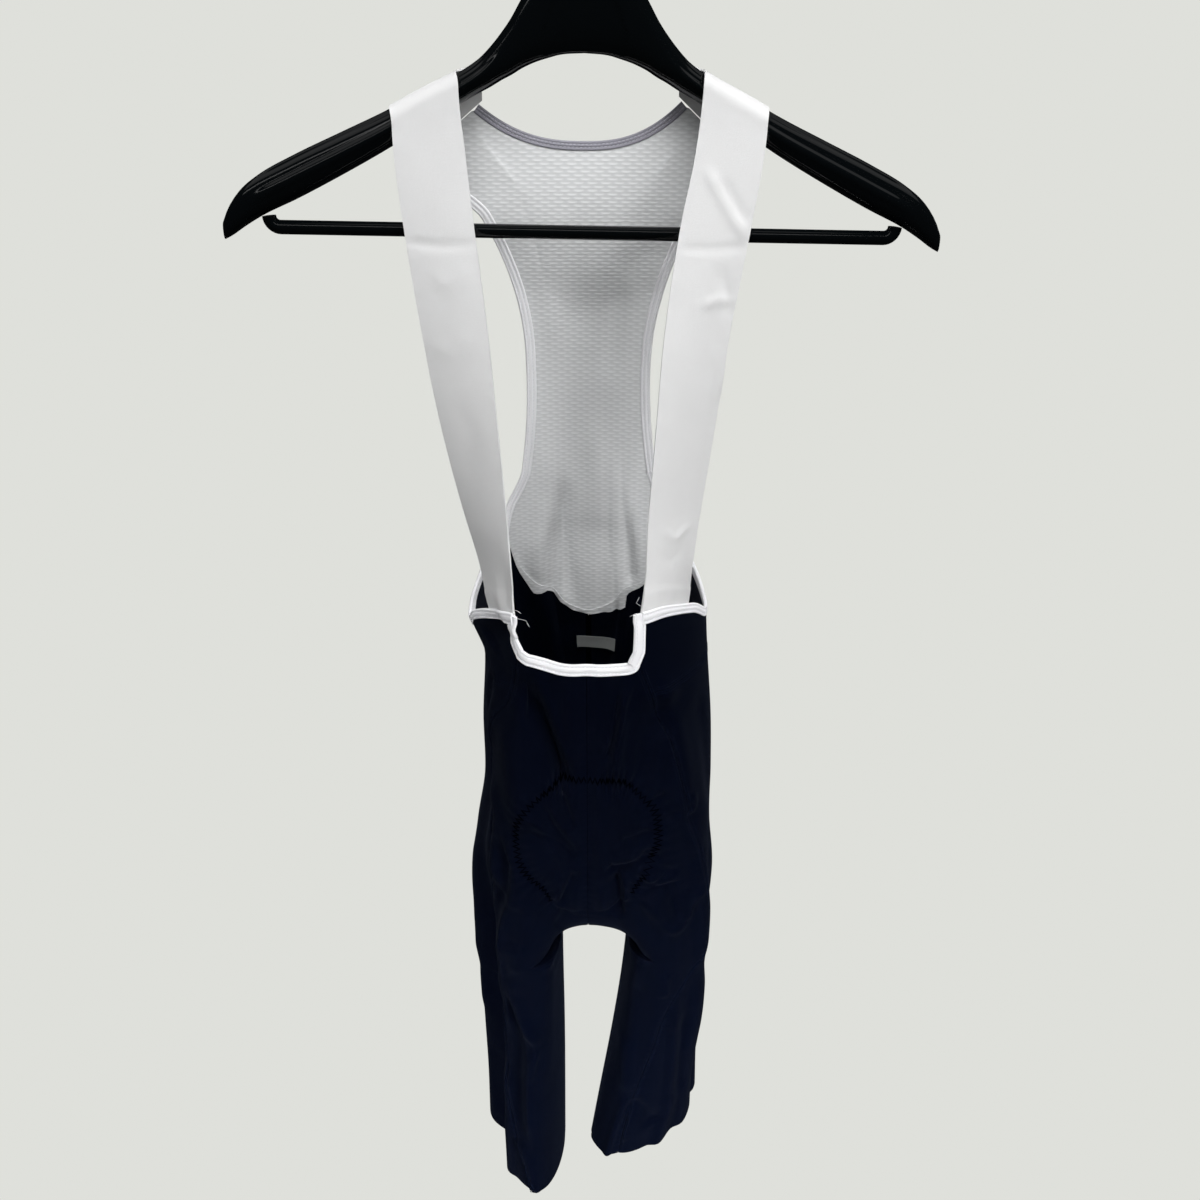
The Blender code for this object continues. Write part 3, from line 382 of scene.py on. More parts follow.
CREASES["r"] = [
    # the scoop's right end and the long ridge down the right side
    ([(-530, 0.234), (-556, 0.182), (-586, 0.125), (-612, 0.076)], 3.2, 2.2),
    ([(-540, 0.214), (-562, 0.135), (-590, 0.06)], 3.0, 1.6),
    ([(-542, 0.175), (-570, 0.12), (-600, 0.07)], 3.4, -1.6),
    ([(-530, 0.311), (-549, 0.32), (-570, 0.33), (-593, 0.335), (-616, 0.341), (-640, 0.338),
       (-655, 0.342)], 2.8, 2.6),
    ([(-650, 0.339), (-669, 0.352), (-692, 0.367), (-714, 0.371), (-739, 0.371), (-778, 0.375),
       (-815, 0.38)], 3.0, 3.0),
    ([(-576, 0.318), (-592, 0.294), (-609, 0.275), (-626, 0.266)], 4.0, 2.0),
    ([(-545, 0.285), (-579, 0.266), (-620, 0.238)], 6.0, -1.8),
    ([(-624, 0.272), (-636, 0.294), (-652, 0.322)], 3.4, -2.0),
    ([(-632, 0.35), (-640, 0.358), (-650, 0.35)], 2.0, 1.5),
    ([(-560, 0.4), (-600, 0.415), (-660, 0.425)], 5.0, -1.6),
    # the fan round the seat pad, right, with the tuck beside the fork
    ([(-655, 0.262), (-661, 0.212), (-666, 0.14)], 3.0, -1.5),
    ([(-668, 0.272), (-684, 0.227), (-688, 0.17), (-688, 0.097), (-697, 0.045)], 3.4, -2.6),
    ([(-676, 0.215), (-679, 0.15), (-684, 0.08)], 4.0, 1.5),
    ([(-692, 0.1), (-705, 0.118), (-722, 0.122), (-742, 0.118)], 6.0, -4.6),
    ([(-690, 0.15), (-704, 0.16), (-724, 0.166)], 3.4, 2.0),
    ([(-676, 0.262), (-693, 0.283), (-703, 0.312)], 3.4, -2.6),
    ([(-690, 0.225), (-697, 0.25), (-704, 0.262)], 3.0, 2.0),
    ([(-701, 0.251), (-713, 0.26), (-712, 0.298), (-724, 0.306), (-741, 0.308), (-752, 0.322)], 3.6, -3.4),
    ([(-716, 0.232), (-733, 0.262), (-752, 0.3), (-760, 0.33)], 4.5, 2.6),
    ([(-750, 0.325), (-737, 0.341), (-722, 0.362)], 2.6, 2.4),
    # the right leg
    ([(-751, 0.208), (-818, 0.13), (-874, 0.152), (-936, 0.178), (-1008, 0.176)], 8.0, 2.4),
    ([(-936, 0.205), (-970, 0.192), (-1008, 0.18)], 2.6, 1.8),
    ([(-798, 0.277), (-812, 0.276), (-826, 0.275)], 2.0, 1.2),
    ([(-826, 0.304), (-860, 0.312), (-896, 0.326), (-963, 0.345), (-1008, 0.337)], 3.0, 3.2),
    ([(-815, 0.378), (-857, 0.38), (-902, 0.376), (-950, 0.395), (-1008, 0.4)], 3.4, 2.6),
    ([(-850, 0.345), (-900, 0.352), (-960, 0.37)], 5.0, -1.6),
    ([(-941, 0.234), (-955, 0.273), (-980, 0.322)], 3.2, -2.2),
    ([(-948, 0.222), (-972, 0.236), (-996, 0.24)], 2.6, 1.2),
    ([(-700, 0.42), (-760, 0.435), (-840, 0.44)], 4.0, -2.0),
]
print(len(FOLDS), "broad folds,", {half: len(rows) for half, rows in CREASES.items()}, "creases in front")

# %% [markdown]
# The back was folded in the same drawer and hangs from the same seams, so it gets a fan of creases below
# the mesh, a pair of drag lines from the seat down each leg, and short breaks near the hems.

# %% Creases on the back
CREASES["l"] += [
    ([(-500, 0.74), (-540, 0.78), (-590, 0.84), (-630, 0.9)], 5.0, -2.6),
    ([(-520, 0.82), (-560, 0.86), (-610, 0.93)], 4.0, 2.0),
    ([(-545, 0.94), (-590, 0.95), (-640, 0.94)], 5.0, 1.4),
    ([(-630, 0.7), (-690, 0.735), (-760, 0.8), (-790, 0.86)], 4.5, -3.0),
    ([(-660, 0.66), (-720, 0.69), (-790, 0.75)], 4.0, 2.6),
    ([(-700, 0.92), (-730, 0.88), (-765, 0.84)], 4.0, -2.2),
    ([(-740, 0.94), (-765, 0.9), (-790, 0.87)], 3.4, -1.8),
    ([(-810, 0.72), (-870, 0.7), (-950, 0.72), (-1035, 0.71)], 5.5, -3.0),
    ([(-820, 0.8), (-900, 0.79), (-1000, 0.82)], 5.0, 2.4),
    ([(-860, 0.88), (-920, 0.86), (-980, 0.87)], 4.0, -1.6),
    ([(-960, 0.62), (-990, 0.66), (-1012, 0.72)], 3.0, -1.8),
    ([(-580, 0.57), (-660, 0.6), (-740, 0.58)], 4.0, 2.4),
    ([(-760, 0.56), (-830, 0.585), (-920, 0.57)], 3.4, -2.2),
]
CREASES["r"] += [
    ([(-498, 0.73), (-538, 0.77), (-580, 0.81), (-636, 0.87)], 4.6, -2.4),
    ([(-535, 0.86), (-575, 0.9), (-615, 0.95)], 3.8, 1.8),
    ([(-610, 0.66), (-680, 0.71), (-745, 0.78), (-785, 0.85)], 4.8, -3.2),
    ([(-640, 0.62), (-710, 0.655), (-780, 0.71)], 4.2, 2.8),
    ([(-690, 0.93), (-725, 0.9), (-760, 0.86)], 4.4, -2.4),
    ([(-735, 0.95), (-762, 0.92), (-786, 0.88)], 3.0, -1.6),
    ([(-800, 0.76), (-860, 0.73), (-930, 0.74), (-1008, 0.73)], 5.0, -2.8),
    ([(-830, 0.66), (-890, 0.68), (-960, 0.66)], 4.2, 2.6),
    ([(-880, 0.84), (-930, 0.82), (-990, 0.84)], 4.6, 1.8),
    ([(-930, 0.6), (-962, 0.64), (-985, 0.7)], 3.0, -1.8),
    ([(-560, 0.56), (-630, 0.59), (-720, 0.57)], 4.0, -2.2),
    ([(-740, 0.55), (-800, 0.575), (-880, 0.56)], 3.6, 2.2),
]
# Share of a crease that fades out at each end, what its height and width are multiplied by, and how
# much narrower its steep side is
CREASE_FADE = 0.22
CREASE_DEPTH = 1.5
CREASE_WIDTH = 1.7
CREASE_SKEW = 0.3
print({half: len(rows) for half, rows in CREASES.items()}, "creases with those on the back")

# %% The pad's outline
# Half: height, station, from the centre over the top and back towards the centre below
PAD_STITCHES = {
    "l": np.array([
        (-612, 0.0), (-612, 0.04), (-614, 0.11), (-622, 0.187), (-631, 0.24), (-641, 0.266),
        (-655, 0.281), (-670, 0.277), (-685, 0.262), (-698, 0.236), (-708, 0.191), (-720, 0.155),
    ]),
    "r": np.array([
        (-612, 0.0), (-613, 0.045), (-612, 0.114), (-614, 0.169), (-619, 0.204), (-630, 0.249),
        (-640, 0.268), (-655, 0.272), (-668, 0.27), (-681, 0.26), (-694, 0.243), (-703, 0.221),
        (-714, 0.188),
    ]),
}
OUTLINE_POINTS = 180


def through_bends(bends):
    """Heights and stations along a smooth line through the bends."""
    run = np.arange(len(bends), dtype=float)
    at = np.linspace(0, len(bends) - 1, OUTLINE_POINTS)
    return [through(np.column_stack([run, bends[:, axis]]), 1, at) for axis in (0, 1)]


PAD_OUTLINE = {half: through_bends(bends) for half, bends in PAD_STITCHES.items()}

# %% The gathers that the pad's stitches pull
PAD_LEVEL = -660.0
# Depth and half width of the groove; height, pitch and reach of the gathers; height and slope of the puff
GROOVE = (-0.3, 3.5)
GATHER = (0.9, 8.0, 12.0)
PUFF = (2.2, 14)
# Lowest and highest level and furthest station that the pad pulls at. Its relief fades in over a height
# above one level, and over a short way from the centre seam
PAD_FIELD = (-760, -590, 0.36)
PAD_FADE = (-745, 25)
CENTRE_FADE = 6


def pad_relief(half, station, level):
    """Groove of the zigzag, gathers across it and the puff of the cloth inside it."""
    lift = np.zeros(np.broadcast(station, level).shape)
    lowest, highest, furthest = PAD_FIELD
    near = (level > lowest) & (level < highest) & (station < furthest)
    if not near.any():
        return lift
    high, at = PAD_OUTLINE[half]
    line = np.stack([at * STATION_LENGTH, high], axis=-1)
    run = cumulative(line)
    here = np.stack([station[near] * STATION_LENGTH, level[near]], axis=-1)
    gap = np.linalg.norm(here[:, None] - line[None], axis=-1)
    nearest = gap.argmin(axis=1)
    off, place = gap.min(axis=1), run[nearest]
    centre = np.array([0.0, PAD_LEVEL])
    inside = np.linalg.norm(here - centre, axis=1) < np.linalg.norm(line[nearest] - centre, axis=1)
    depth, width = GROOVE
    height, pitch, reach = GATHER
    puff, slope = PUFF
    relief = depth * bell(off, width)
    # slow waves on the pitch and the height, so that no two gathers are alike
    swing = np.sin(place * 2 * math.pi / pitch + 1.6 * np.sin(place / 11.0))
    relief += height * swing * bell(off, reach) * (0.6 + 0.4 * np.sin(place / 23.0))
    relief += np.where(inside, puff * smooth(off / slope), 0)
    fade = smooth((level[near] - PAD_FADE[0]) / PAD_FADE[1]) * smooth(here[:, 0] / CENTRE_FADE)
    lift[near] = relief * fade
    return lift


# %% Relief of bent lines
def line_lift(lines, across, down, fade_part=0.3, skew=0.0):
    """Relief of bent lines laid over flat coordinates. A line is (bends, half width, height, runs on).

    With a skew, a ridge is steeper on its lower side, and a trough on its upper side.
    """
    across, down = np.broadcast_arrays(np.asarray(across, float), np.asarray(down, float))
    lift = np.zeros(across.shape)
    for bends, width, height, *runs_on in lines:
        line = np.array(bends, float)
        low, high = line.min(axis=0) - 3 * width, line.max(axis=0) + 3 * width
        near = (across > low[0]) & (across < high[0]) & (down > low[1]) & (down < high[1])
        over, under = across[near], down[near]
        lengths = np.linalg.norm(np.diff(line, axis=0), axis=1)
        nearest = np.full(over.shape, np.inf)
        place, above = np.zeros(over.shape), np.zeros(over.shape)
        rising = 1 if line[-1, 0] > line[0, 0] else -1
        for index, length in enumerate(lengths):
            run = (line[index + 1] - line[index]) / length
            along = (over - line[index, 0]) * run[0] + (under - line[index, 1]) * run[1]
            along = np.clip(along, 0, length)
            off_over = over - line[index, 0] - along * run[0]
            off = np.hypot(off_over, under - line[index, 1] - along * run[1])
            closer = off < nearest
            nearest = np.where(closer, off, nearest)
            place = np.where(closer, (lengths[:index].sum() + along) / lengths.sum(), place)
            left = (under - line[index, 1]) * run[0] - (over - line[index, 0]) * run[1]
            above = np.where(closer, left * rising, above)
        fade = smooth(place / fade_part + 0.1) * smooth((1 - place) / fade_part + 0.1 + sum(runs_on))
        wide = width * (1 + skew * np.sign(height) * np.clip(above / width, -1, 1))
        lift[near] += height * fade * bell(nearest, wide)
    return lift


# %% Heights of the folds and the creases
def fold_height(half, station, level):
    """How far the broad folds lift the cloth at each point."""
    lift = np.zeros(np.broadcast(station, level).shape)
    for side, high, from_station, low, to_station, width, height in FOLDS:
        if side != half:
            continue
        part = (high - level) / (high - low)
        middle = from_station + (to_station - from_station) * np.clip(part, 0, 1)
        fade = smooth(part / FOLD_FADE) * smooth((1 - part) / FOLD_FADE + (low <= HEM[half]))
        off = (station - middle) * STATION_LENGTH / width
        lift += height * bell(off, 1.0) * fade
    return lift


def crease_height(half, station, level):
    """The same for the creases, each a bent line with its own width. One at the hem runs on over it."""
    lines = []
    for bends, width, height in CREASES[half]:
        line = [(at * STATION_LENGTH, high) for high, at in bends]
        runs_on = bends[-1][0] <= HEM[half] + 3
        lines.append((line, CREASE_WIDTH * width, CREASE_DEPTH * height, runs_on))
    return line_lift(lines, station * STATION_LENGTH, level, CREASE_FADE, CREASE_SKEW)


# %% A faint unevenness
FLUTTER = np.random.RandomState(7).uniform(-1, 1, (10, 4))
FLUTTER_HEIGHT = 0.34
FLUTTER_ACROSS = 0.05
FLUTTER_DOWN = 0.045


def flutter(station, level):
    """Slow waves of ten sizes, so that no stretch of cloth is perfectly smooth."""
    across = station * STATION_LENGTH
    lift = 0
    for wave_x, wave_z, turn, size in FLUTTER:
        phase = across * (FLUTTER_ACROSS + FLUTTER_ACROSS * wave_x)
        phase = phase + level * (FLUTTER_DOWN * wave_z) + turn * math.pi
        lift = lift + size * np.sin(phase) * FLUTTER_HEIGHT
    return lift


# %% [markdown]
# All this relief is worked out once, on a fine table for each half, because every later piece asks for
# the same cloth again.

# %% Tables of the relief
RELIEF_STEP = 0.75
RELIEF_LOW = {half: HEM[half] - 9 for half in HALVES}
RELIEF_TOP = -465


def relief_table(half, fine):
    """Heights of all relief on an even grid: the broad folds only, or with the fine creases too."""
    across = np.arange(0, STATION_LENGTH + RELIEF_STEP, RELIEF_STEP)
    down = np.arange(RELIEF_LOW[half], RELIEF_TOP, RELIEF_STEP)
    station, level = np.meshgrid(across / STATION_LENGTH, down)
    lift = fold_height(half, station, level)
    if fine:
        lift += crease_height(half, station, level) + flutter(station, level)
        lift += pad_relief(half, station, level)
    return lift * smooth(station / SEAM_FADE) * smooth((1 - station) / SEAM_FADE)


RELIEF = {(half, fine): relief_table(half, fine) for half in HALVES for fine in (False, True)}
print("relief up to", round(max(float(np.abs(table).max()) for table in RELIEF.values()), 1), "mm")


def relief(half, station, level, fine):
    """The table's height at each point, blended from the four entries round it."""
    table = RELIEF[half, fine]
    column = np.clip(station * STATION_LENGTH / RELIEF_STEP, 0, table.shape[1] - 1.001)
    row = np.clip((level - RELIEF_LOW[half]) / RELIEF_STEP, 0, table.shape[0] - 1.001)
    left, low = column.astype(int), row.astype(int)
    over, up = column - left, row - low
    lower = table[low, left] * (1 - over) + table[low, left + 1] * over
    upper = table[low + 1, left] * (1 - over) + table[low + 1, left + 1] * over
    return lower * (1 - up) + upper * up


# %% The cloth with its relief
NORMAL_STEP = 0.003
ON_EDGE = 1e-6
HALVINGS = 24


def shorts(half, station, level, fine=True):
    """The cloth's middle surface with its relief."""
    station, level = np.broadcast_arrays(np.asarray(station, float), np.asarray(level, float))
    lift = relief(half, station, level, fine)
    base = bare_section(half, station, level)
    return base + facing(bare_section, half, station, level) * lift[..., None]


def outward(half, station, level):
    """The surface's normal, shared by both sides of the centre seams and the inseam."""
    station, level = np.broadcast_arrays(station, level)
    normal = facing(shorts, half, station, level, NORMAL_STEP)
    edge = (station < ON_EDGE) | (station > 1 - ON_EDGE)
    if edge.any():
        over, high = station[edge], level[edge]
        both = normal[edge] + facing(shorts, half, 1 - over, high, NORMAL_STEP)
        flat = normal[edge] * (0, 1, 1)
        normal[edge] = unit(np.where((high >= CROTCH)[:, None], flat, both))
    return normal


def station_at(half, level, out, behind=False):
    """The front station, or the one behind, that lies this far from the centre plane."""
    level, out = np.broadcast_arrays(np.asarray(level, float), np.asarray(out, float))
    inner = np.full_like(level, 1.0 if behind else 0.0)
    outer = np.full_like(level, 0.5)
    for _ in range(HALVINGS):
        middle = (inner + outer) / 2
        inside = np.abs(bare_section(half, middle, level)[..., 0]) < out
        inner, outer = np.where(inside, middle, inner), np.where(inside, outer, middle)
    return (inner + outer) / 2


# %% [markdown]
# ## Knitted surfaces
# Three shader groups serve every textile here. "stitches of knit" raises a V-shaped loop pattern,
# "ribs" raises cords across a strap or a tape, and "uneven dye" lets the colour drift by a few
# per cent. Each reads the piece's own cloth coordinates, laid out in millimetres, so that one loop is
# the same size everywhere.


# %% Helpers for shader nodes
def feed(tree, socket, value):
    """Give an input a fixed value, or link another node's output to it."""
    if isinstance(value, bpy.types.NodeSocket):
        tree.links.new(value, socket)
    else:
        socket.default_value = value


def maths(tree, operation, *values, clamp=False):
    """A maths node; each value is a number or another node's output."""
    node = tree.nodes.new("ShaderNodeMath")
    node.operation = operation
    node.use_clamp = clamp
    for socket, value in zip(node.inputs, values):
        feed(tree, socket, value)
    return node.outputs[0]


def times(tree, first, second, clamp=False):
    return maths(tree, "MULTIPLY", first, second, clamp=clamp)


def plus(tree, first, second):
    return maths(tree, "ADD", first, second)


def new_group(name, inputs, outputs):
    """A shader group with named inputs (name, type, value) and named outputs."""
    group = bpy.data.node_groups.new(name, "ShaderNodeTree")
    for label, kind, value in inputs:
        socket = group.interface.new_socket(label, in_out="INPUT", socket_type=kind)
        if value is not None:
            socket.default_value = value
    for label, kind in outputs:
        group.interface.new_socket(label, in_out="OUTPUT", socket_type=kind)
    start, end = group.nodes.new("NodeGroupInput"), group.nodes.new("NodeGroupOutput")
    return group, start.outputs, end.inputs


def split(tree, vector):
    """How far across and how far up a place is."""
    node = tree.nodes.new("ShaderNodeSeparateXYZ")
    tree.links.new(vector, node.inputs[0])
    return node.outputs[0], node.outputs[1]


def noise_of(tree, vector, scale, detail=2.0, roughness=0.5):
    """Cloudy values from 0 to 1 over a place."""
    node = tree.nodes.new("ShaderNodeTexNoise")
    values = {"Detail": detail, "Roughness": roughness, "Vector": vector, "Scale": scale}
    for label, value in values.items():
        feed(tree, node.inputs[label], value)
    return node.outputs["Fac"]


# %% The three textile groups
VECTOR, VALUE, COLOUR = "NodeSocketVector", "NodeSocketFloat", "NodeSocketColor"

knit_group, given, result = new_group(
    "stitches of knit",
    [("Place", VECTOR, None), ("Wale", VALUE, 0.8), ("Course", VALUE, 0.7)],
    [("Height", VALUE)],
)
over, up = split(knit_group, given["Place"])
wale = maths(knit_group, "DIVIDE", over, given["Wale"])
leg = maths(knit_group, "PINGPONG", wale, 0.5)
course = plus(knit_group, maths(knit_group, "DIVIDE", up, given["Course"]), leg)
loop = maths(knit_group, "SINE", times(knit_group, course, 2 * math.pi))
bulge = maths(knit_group, "SINE", times(knit_group, leg, 2 * math.pi))
loop = times(knit_group, plus(knit_group, loop, 1.3), bulge)
knit_group.links.new(times(knit_group, loop, 0.4), result["Height"])

rib_group, given, result = new_group(
    "ribs", [("Place", VECTOR, None), ("Pitch", VALUE, 0.9)], [("Height", VALUE)]
)
over, up = split(rib_group, given["Place"])
turn = times(rib_group, maths(rib_group, "DIVIDE", up, given["Pitch"]), 2 * math.pi)
cord = maths(rib_group, "ABSOLUTE", maths(rib_group, "SINE", turn))
grain = noise_of(rib_group, given["Place"], 2.4, 1.0)
rib_group.links.new(plus(rib_group, cord, times(rib_group, grain, 0.8)), result["Height"])

dye_group, given, result = new_group(
    "uneven dye",
    [("Place", VECTOR, None), ("Colour", COLOUR, (0.5, 0.5, 0.5, 1)), ("Drift", VALUE, 0.1),
     ("Size", VALUE, 0.02)],
    [("Colour", COLOUR)],
)
cloud = noise_of(dye_group, given["Place"], given["Size"], 4.0, 0.6)
cloud = times(dye_group, maths(dye_group, "SUBTRACT", cloud, 0.5), given["Drift"])
tone = dye_group.nodes.new("ShaderNodeHueSaturation")
dye_group.links.new(plus(dye_group, cloud, 1.0), tone.inputs["Value"])
dye_group.links.new(given["Colour"], tone.inputs["Color"])
dye_group.links.new(tone.outputs[0], result["Colour"])
print("shader groups:", [group.name for group in bpy.data.node_groups])


# %% Helpers for materials
def new_material(name, roughness, **constants):
    """A material whose unchanging values sit on the shader's own sockets."""
    made = bpy.data.materials.new(name)
    made.use_nodes = True
    shader = made.node_tree.nodes["Principled BSDF"]
    shader.inputs["Roughness"].default_value = roughness
    for label, value in constants.items():
        shader.inputs[label.replace("_", " ")].default_value = value
    return made, made.node_tree, shader


def cloth_place(tree):
    """The cloth's own coordinates, in millimetres across and along it."""
    node = tree.nodes.new("ShaderNodeUVMap")
    node.uv_map = "cloth"
    return node.outputs[0]


def solid_place(tree):
    """The piece's place in the garment's frame, in metres."""
    return tree.nodes.new("ShaderNodeTexCoord").outputs["Object"]


def grouped(tree, group, place, **values):
    """One use of a shader group, with values of its own."""
    node = tree.nodes.new("ShaderNodeGroup")
    node.node_tree = group
    tree.links.new(place, node.inputs["Place"])
    for label, value in values.items():
        feed(tree, node.inputs[label], value)
    return node.outputs[0]


def dye(tree, shader, place, colour, drift, size):
    """Feed the shader a colour that drifts a little from place to place."""
    colour = (*colour, 1) if isinstance(colour, tuple) else colour
    dyed = grouped(tree, dye_group, place, Colour=colour, Drift=drift, Size=size)
    tree.links.new(dyed, shader.inputs["Base Color"])


def raise_surface(tree, shader, height, distance):
    """Feed a relief to the shader's normal; a height of 1 stands for the distance in millimetres."""
    bump = tree.nodes.new("ShaderNodeBump")
    bump.inputs["Distance"].default_value = distance * MM
    tree.links.new(height, bump.inputs["Height"])
    tree.links.new(bump.outputs[0], shader.inputs["Normal"])


# %% [markdown]
# ## The cloths
# Stretch knit for the panels is a very dark navy whose filaments shine softly at a glancing angle, so
# it gets sheen on the shader itself. Elastic and bindings are brushed white with fine ribs. The mesh is
# a honeycomb of shallow dimples: every second row sits half a cell over, and the lower lip of each
# dimple catches the light, through the bump and through a painted highlight in the colour. One wave
# across times one wave up gives exactly that staggered pattern. Holes in the mesh itself would take a
# million faces, so the dimples are colour and bump.

# %% Navy stretch knit
navy_cloth, tree, shader = new_material(
    "navy stretch knit", 0.5, Sheen_Weight=0.022, Sheen_Roughness=0.45, Sheen_Tint=(0.56, 0.68, 1.0, 1),
    Specular_IOR_Level=0.3, Specular_Tint=(0.68, 0.72, 1.0, 1),
)
place = cloth_place(tree)
dye(tree, shader, place, (0.0005, 0.0011, 0.0043), 0.4, 0.03)
loops = grouped(tree, knit_group, place, Wale=0.9, Course=0.8)
fuzz = noise_of(tree, place, 0.9, 3.0, 0.6)
raise_surface(tree, shader, plus(tree, loops, fuzz), 0.10)

# %% White elastic, tape and label
TAPE_CLOUD = 0.035
TAPE_RELIEF = 0.12


def ribbed_cloth(name, colour, pitch, drift, roughness=0.72):
    """A woven or knitted tape with ribs at this pitch, in millimetres."""
    made, tree, shader = new_material(name, roughness, Sheen_Weight=0.15, Sheen_Roughness=0.5)
    place = cloth_place(tree)
    dye(tree, shader, place, colour, drift, TAPE_CLOUD)
    ribs = grouped(tree, rib_group, place, Pitch=pitch)
    fuzz = noise_of(tree, place, 0.7, 3.0, 0.65)
    raise_surface(tree, shader, plus(tree, ribs, fuzz), TAPE_RELIEF)
    return made


elastic = ribbed_cloth("white elastic", (0.74, 0.74, 0.74), 0.9, 0.06)
white_binding = ribbed_cloth("white binding", (0.88, 0.88, 0.90), 1.1, 0.08)
lilac_binding = ribbed_cloth("lilac-grey binding", (0.31, 0.305, 0.35), 1.1, 0.10)
label_cloth = ribbed_cloth("label satin", (0.21, 0.22, 0.215), 0.6, 0.15, roughness=0.5)


# %% Threads
def thread_of(name, colour, drift, size, roughness, **constants):
    """A thread, so thin that its colour alone changes along it."""
    made, tree, shader = new_material(name, roughness, **constants)
    dye(tree, shader, solid_place(tree), colour, drift, size)
    return made


navy_thread = thread_of(
    "navy thread", (0.0020, 0.0038, 0.0115), 0.6, 900.0, 0.5,
    Sheen_Weight=0.02, Sheen_Tint=(0.6, 0.66, 0.85, 1), Specular_IOR_Level=0.25,
)
# Near-black and darker than the real thread: painted shade of stitches sunk into the cloth, also used for
# the seam bands.
painted_shade_thread = thread_of(
    "near-black thread for painted shade", (0.0001, 0.0002, 0.0006), 0.6, 900.0, 0.8, Specular_IOR_Level=0.02
)
white_thread = thread_of("white thread", (0.72, 0.72, 0.75), 0.3, 700.0, 0.6, Sheen_Weight=0.2)
lilac_thread = thread_of("lilac-grey thread", (0.58, 0.57, 0.64), 0.3, 700.0, 0.6, Sheen_Weight=0.2)

# %% Honeycomb mesh
CELL_WIDE = 8.8
CELL_TALL = 4.7
mesh_cloth, tree, shader = new_material("honeycomb mesh", 0.75, Sheen_Weight=0.1)
place = cloth_place(tree)
over, up = split(tree, place)
over = times(tree, over, 2 * math.pi / CELL_WIDE)
up = times(tree, up, 2 * math.pi / CELL_TALL)
waves = times(tree, maths(tree, "COSINE", over), maths(tree, "COSINE", up))
waves = times(tree, waves, 2.0)
cell = plus(tree, waves, maths(tree, "COSINE", times(tree, up, 2.0)))
# Painted highlight: this sine brightens the colour at the lower lip of each cell, where light from above
# would catch the dimple.
lip = maths(tree, "SINE", times(tree, up, 2.0))
wall_of = times(tree, plus(tree, cell, 1.3), 0.6, clamp=True)
pattern_and_painted_highlight = plus(tree, times(tree, lip, -0.22), 0.78)
pattern_and_painted_highlight = times(tree, pattern_and_painted_highlight, wall_of, clamp=True)
ramp = tree.nodes.new("ShaderNodeMix")
ramp.data_type = "RGBA"
ramp.inputs["A"].default_value = (0.63, 0.64, 0.645, 1)
ramp.inputs["B"].default_value = (0.75, 0.76, 0.765, 1)
tree.links.new(pattern_and_painted_highlight, ramp.inputs["Factor"])
dye(tree, shader, place, ramp.outputs["Result"], 0.08, 0.05)
fuzz = times(tree, noise_of(tree, place, 1.5, 2.0), 0.3)
raise_surface(tree, shader, maths(tree, "SUBTRACT", fuzz, cell), 0.03)

# %% [markdown]
# ## Plastic, steel and the pad's cover
# The hanger is glossy black plastic: nearly no colour of its own, smooth, with faint moulding ripples
# and fine rubs. One even roughness would look like glass, so noise varies it. The hook is plated wire.
# The pad wears a brushed microfibre.

# %% Hard finishes
black_plastic, tree, shader = new_material("black plastic", 0.16, Specular_IOR_Level=0.5)
place = solid_place(tree)
shader.inputs["Base Color"].default_value = (0.0012, 0.0018, 0.0022, 1)
rubs = noise_of(tree, place, 420.0, 4.0, 0.7)
worn = plus(tree, times(tree, noise_of(tree, place, 35.0, 5.0, 0.7), 0.10), 0.08)
tree.links.new(worn, shader.inputs["Roughness"])
swell = plus(tree, noise_of(tree, place, 16.0, 1.0), times(tree, rubs, 0.02))
raise_surface(tree, shader, swell, 0.06)

steel_wire, tree, shader = new_material("plated wire", 0.25, Metallic=1.0)
place = solid_place(tree)
dye(tree, shader, place, (0.62, 0.62, 0.64), 0.25, 160.0)
raise_surface(tree, shader, noise_of(tree, place, 900.0, 3.0), 0.03)

pad_cover, tree, shader = new_material("pad microfibre", 0.85, Sheen_Weight=0.4, Sheen_Roughness=0.4)
place = cloth_place(tree)
dye(tree, shader, place, (0.030, 0.040, 0.062), 0.4, 0.06)
raise_surface(tree, shader, noise_of(tree, place, 1.2, 3.0, 0.6), 0.25)
print("materials:", sorted(material.name for material in bpy.data.materials))

# %% [markdown]
# ## From a grid to a piece of cloth
# Real cloth has two faces and an edge, so each piece is a closed thin wall: the grid is pushed out along
# its normals to one side and to the other, and the rim is stitched shut. A Solidify modifier does the
# same, but here the thickness may change from point to point. The edge gets a few extra columns, where
# the cloth rolls in towards its seam. A grid step of 2 mm is fine enough for a crease 5 mm wide.

# %% Grid steps
STEP = 2.0
KNIT = 1.0
EDGE_STEPS = np.array([0.0, 0.5, 1.1, 1.9])


def count_for(length, step=STEP):
    """How many points a row of this length needs."""
    return max(int(round(length / step)), 2) + 1


def spread(length):
    """Fractions from 0 to 1 along a row, closer together at both seams."""
    edge, gap = EDGE_STEPS / length, STEP / length
    middle = np.linspace(edge[-1] + gap, 1 - edge[-1] - gap, count_for(length))
    return np.concatenate([edge, middle, 1 - edge[::-1]])


def run_down(grid):
    """Distance down each column of a grid."""
    return cumulative(grid.swapaxes(0, 1)).swapaxes(0, 1)


def grid_normals(grid):
    """Normals of a grid of points, from its own rows and columns."""
    return unit(np.cross(np.gradient(grid, axis=1), np.gradient(grid, axis=0)))


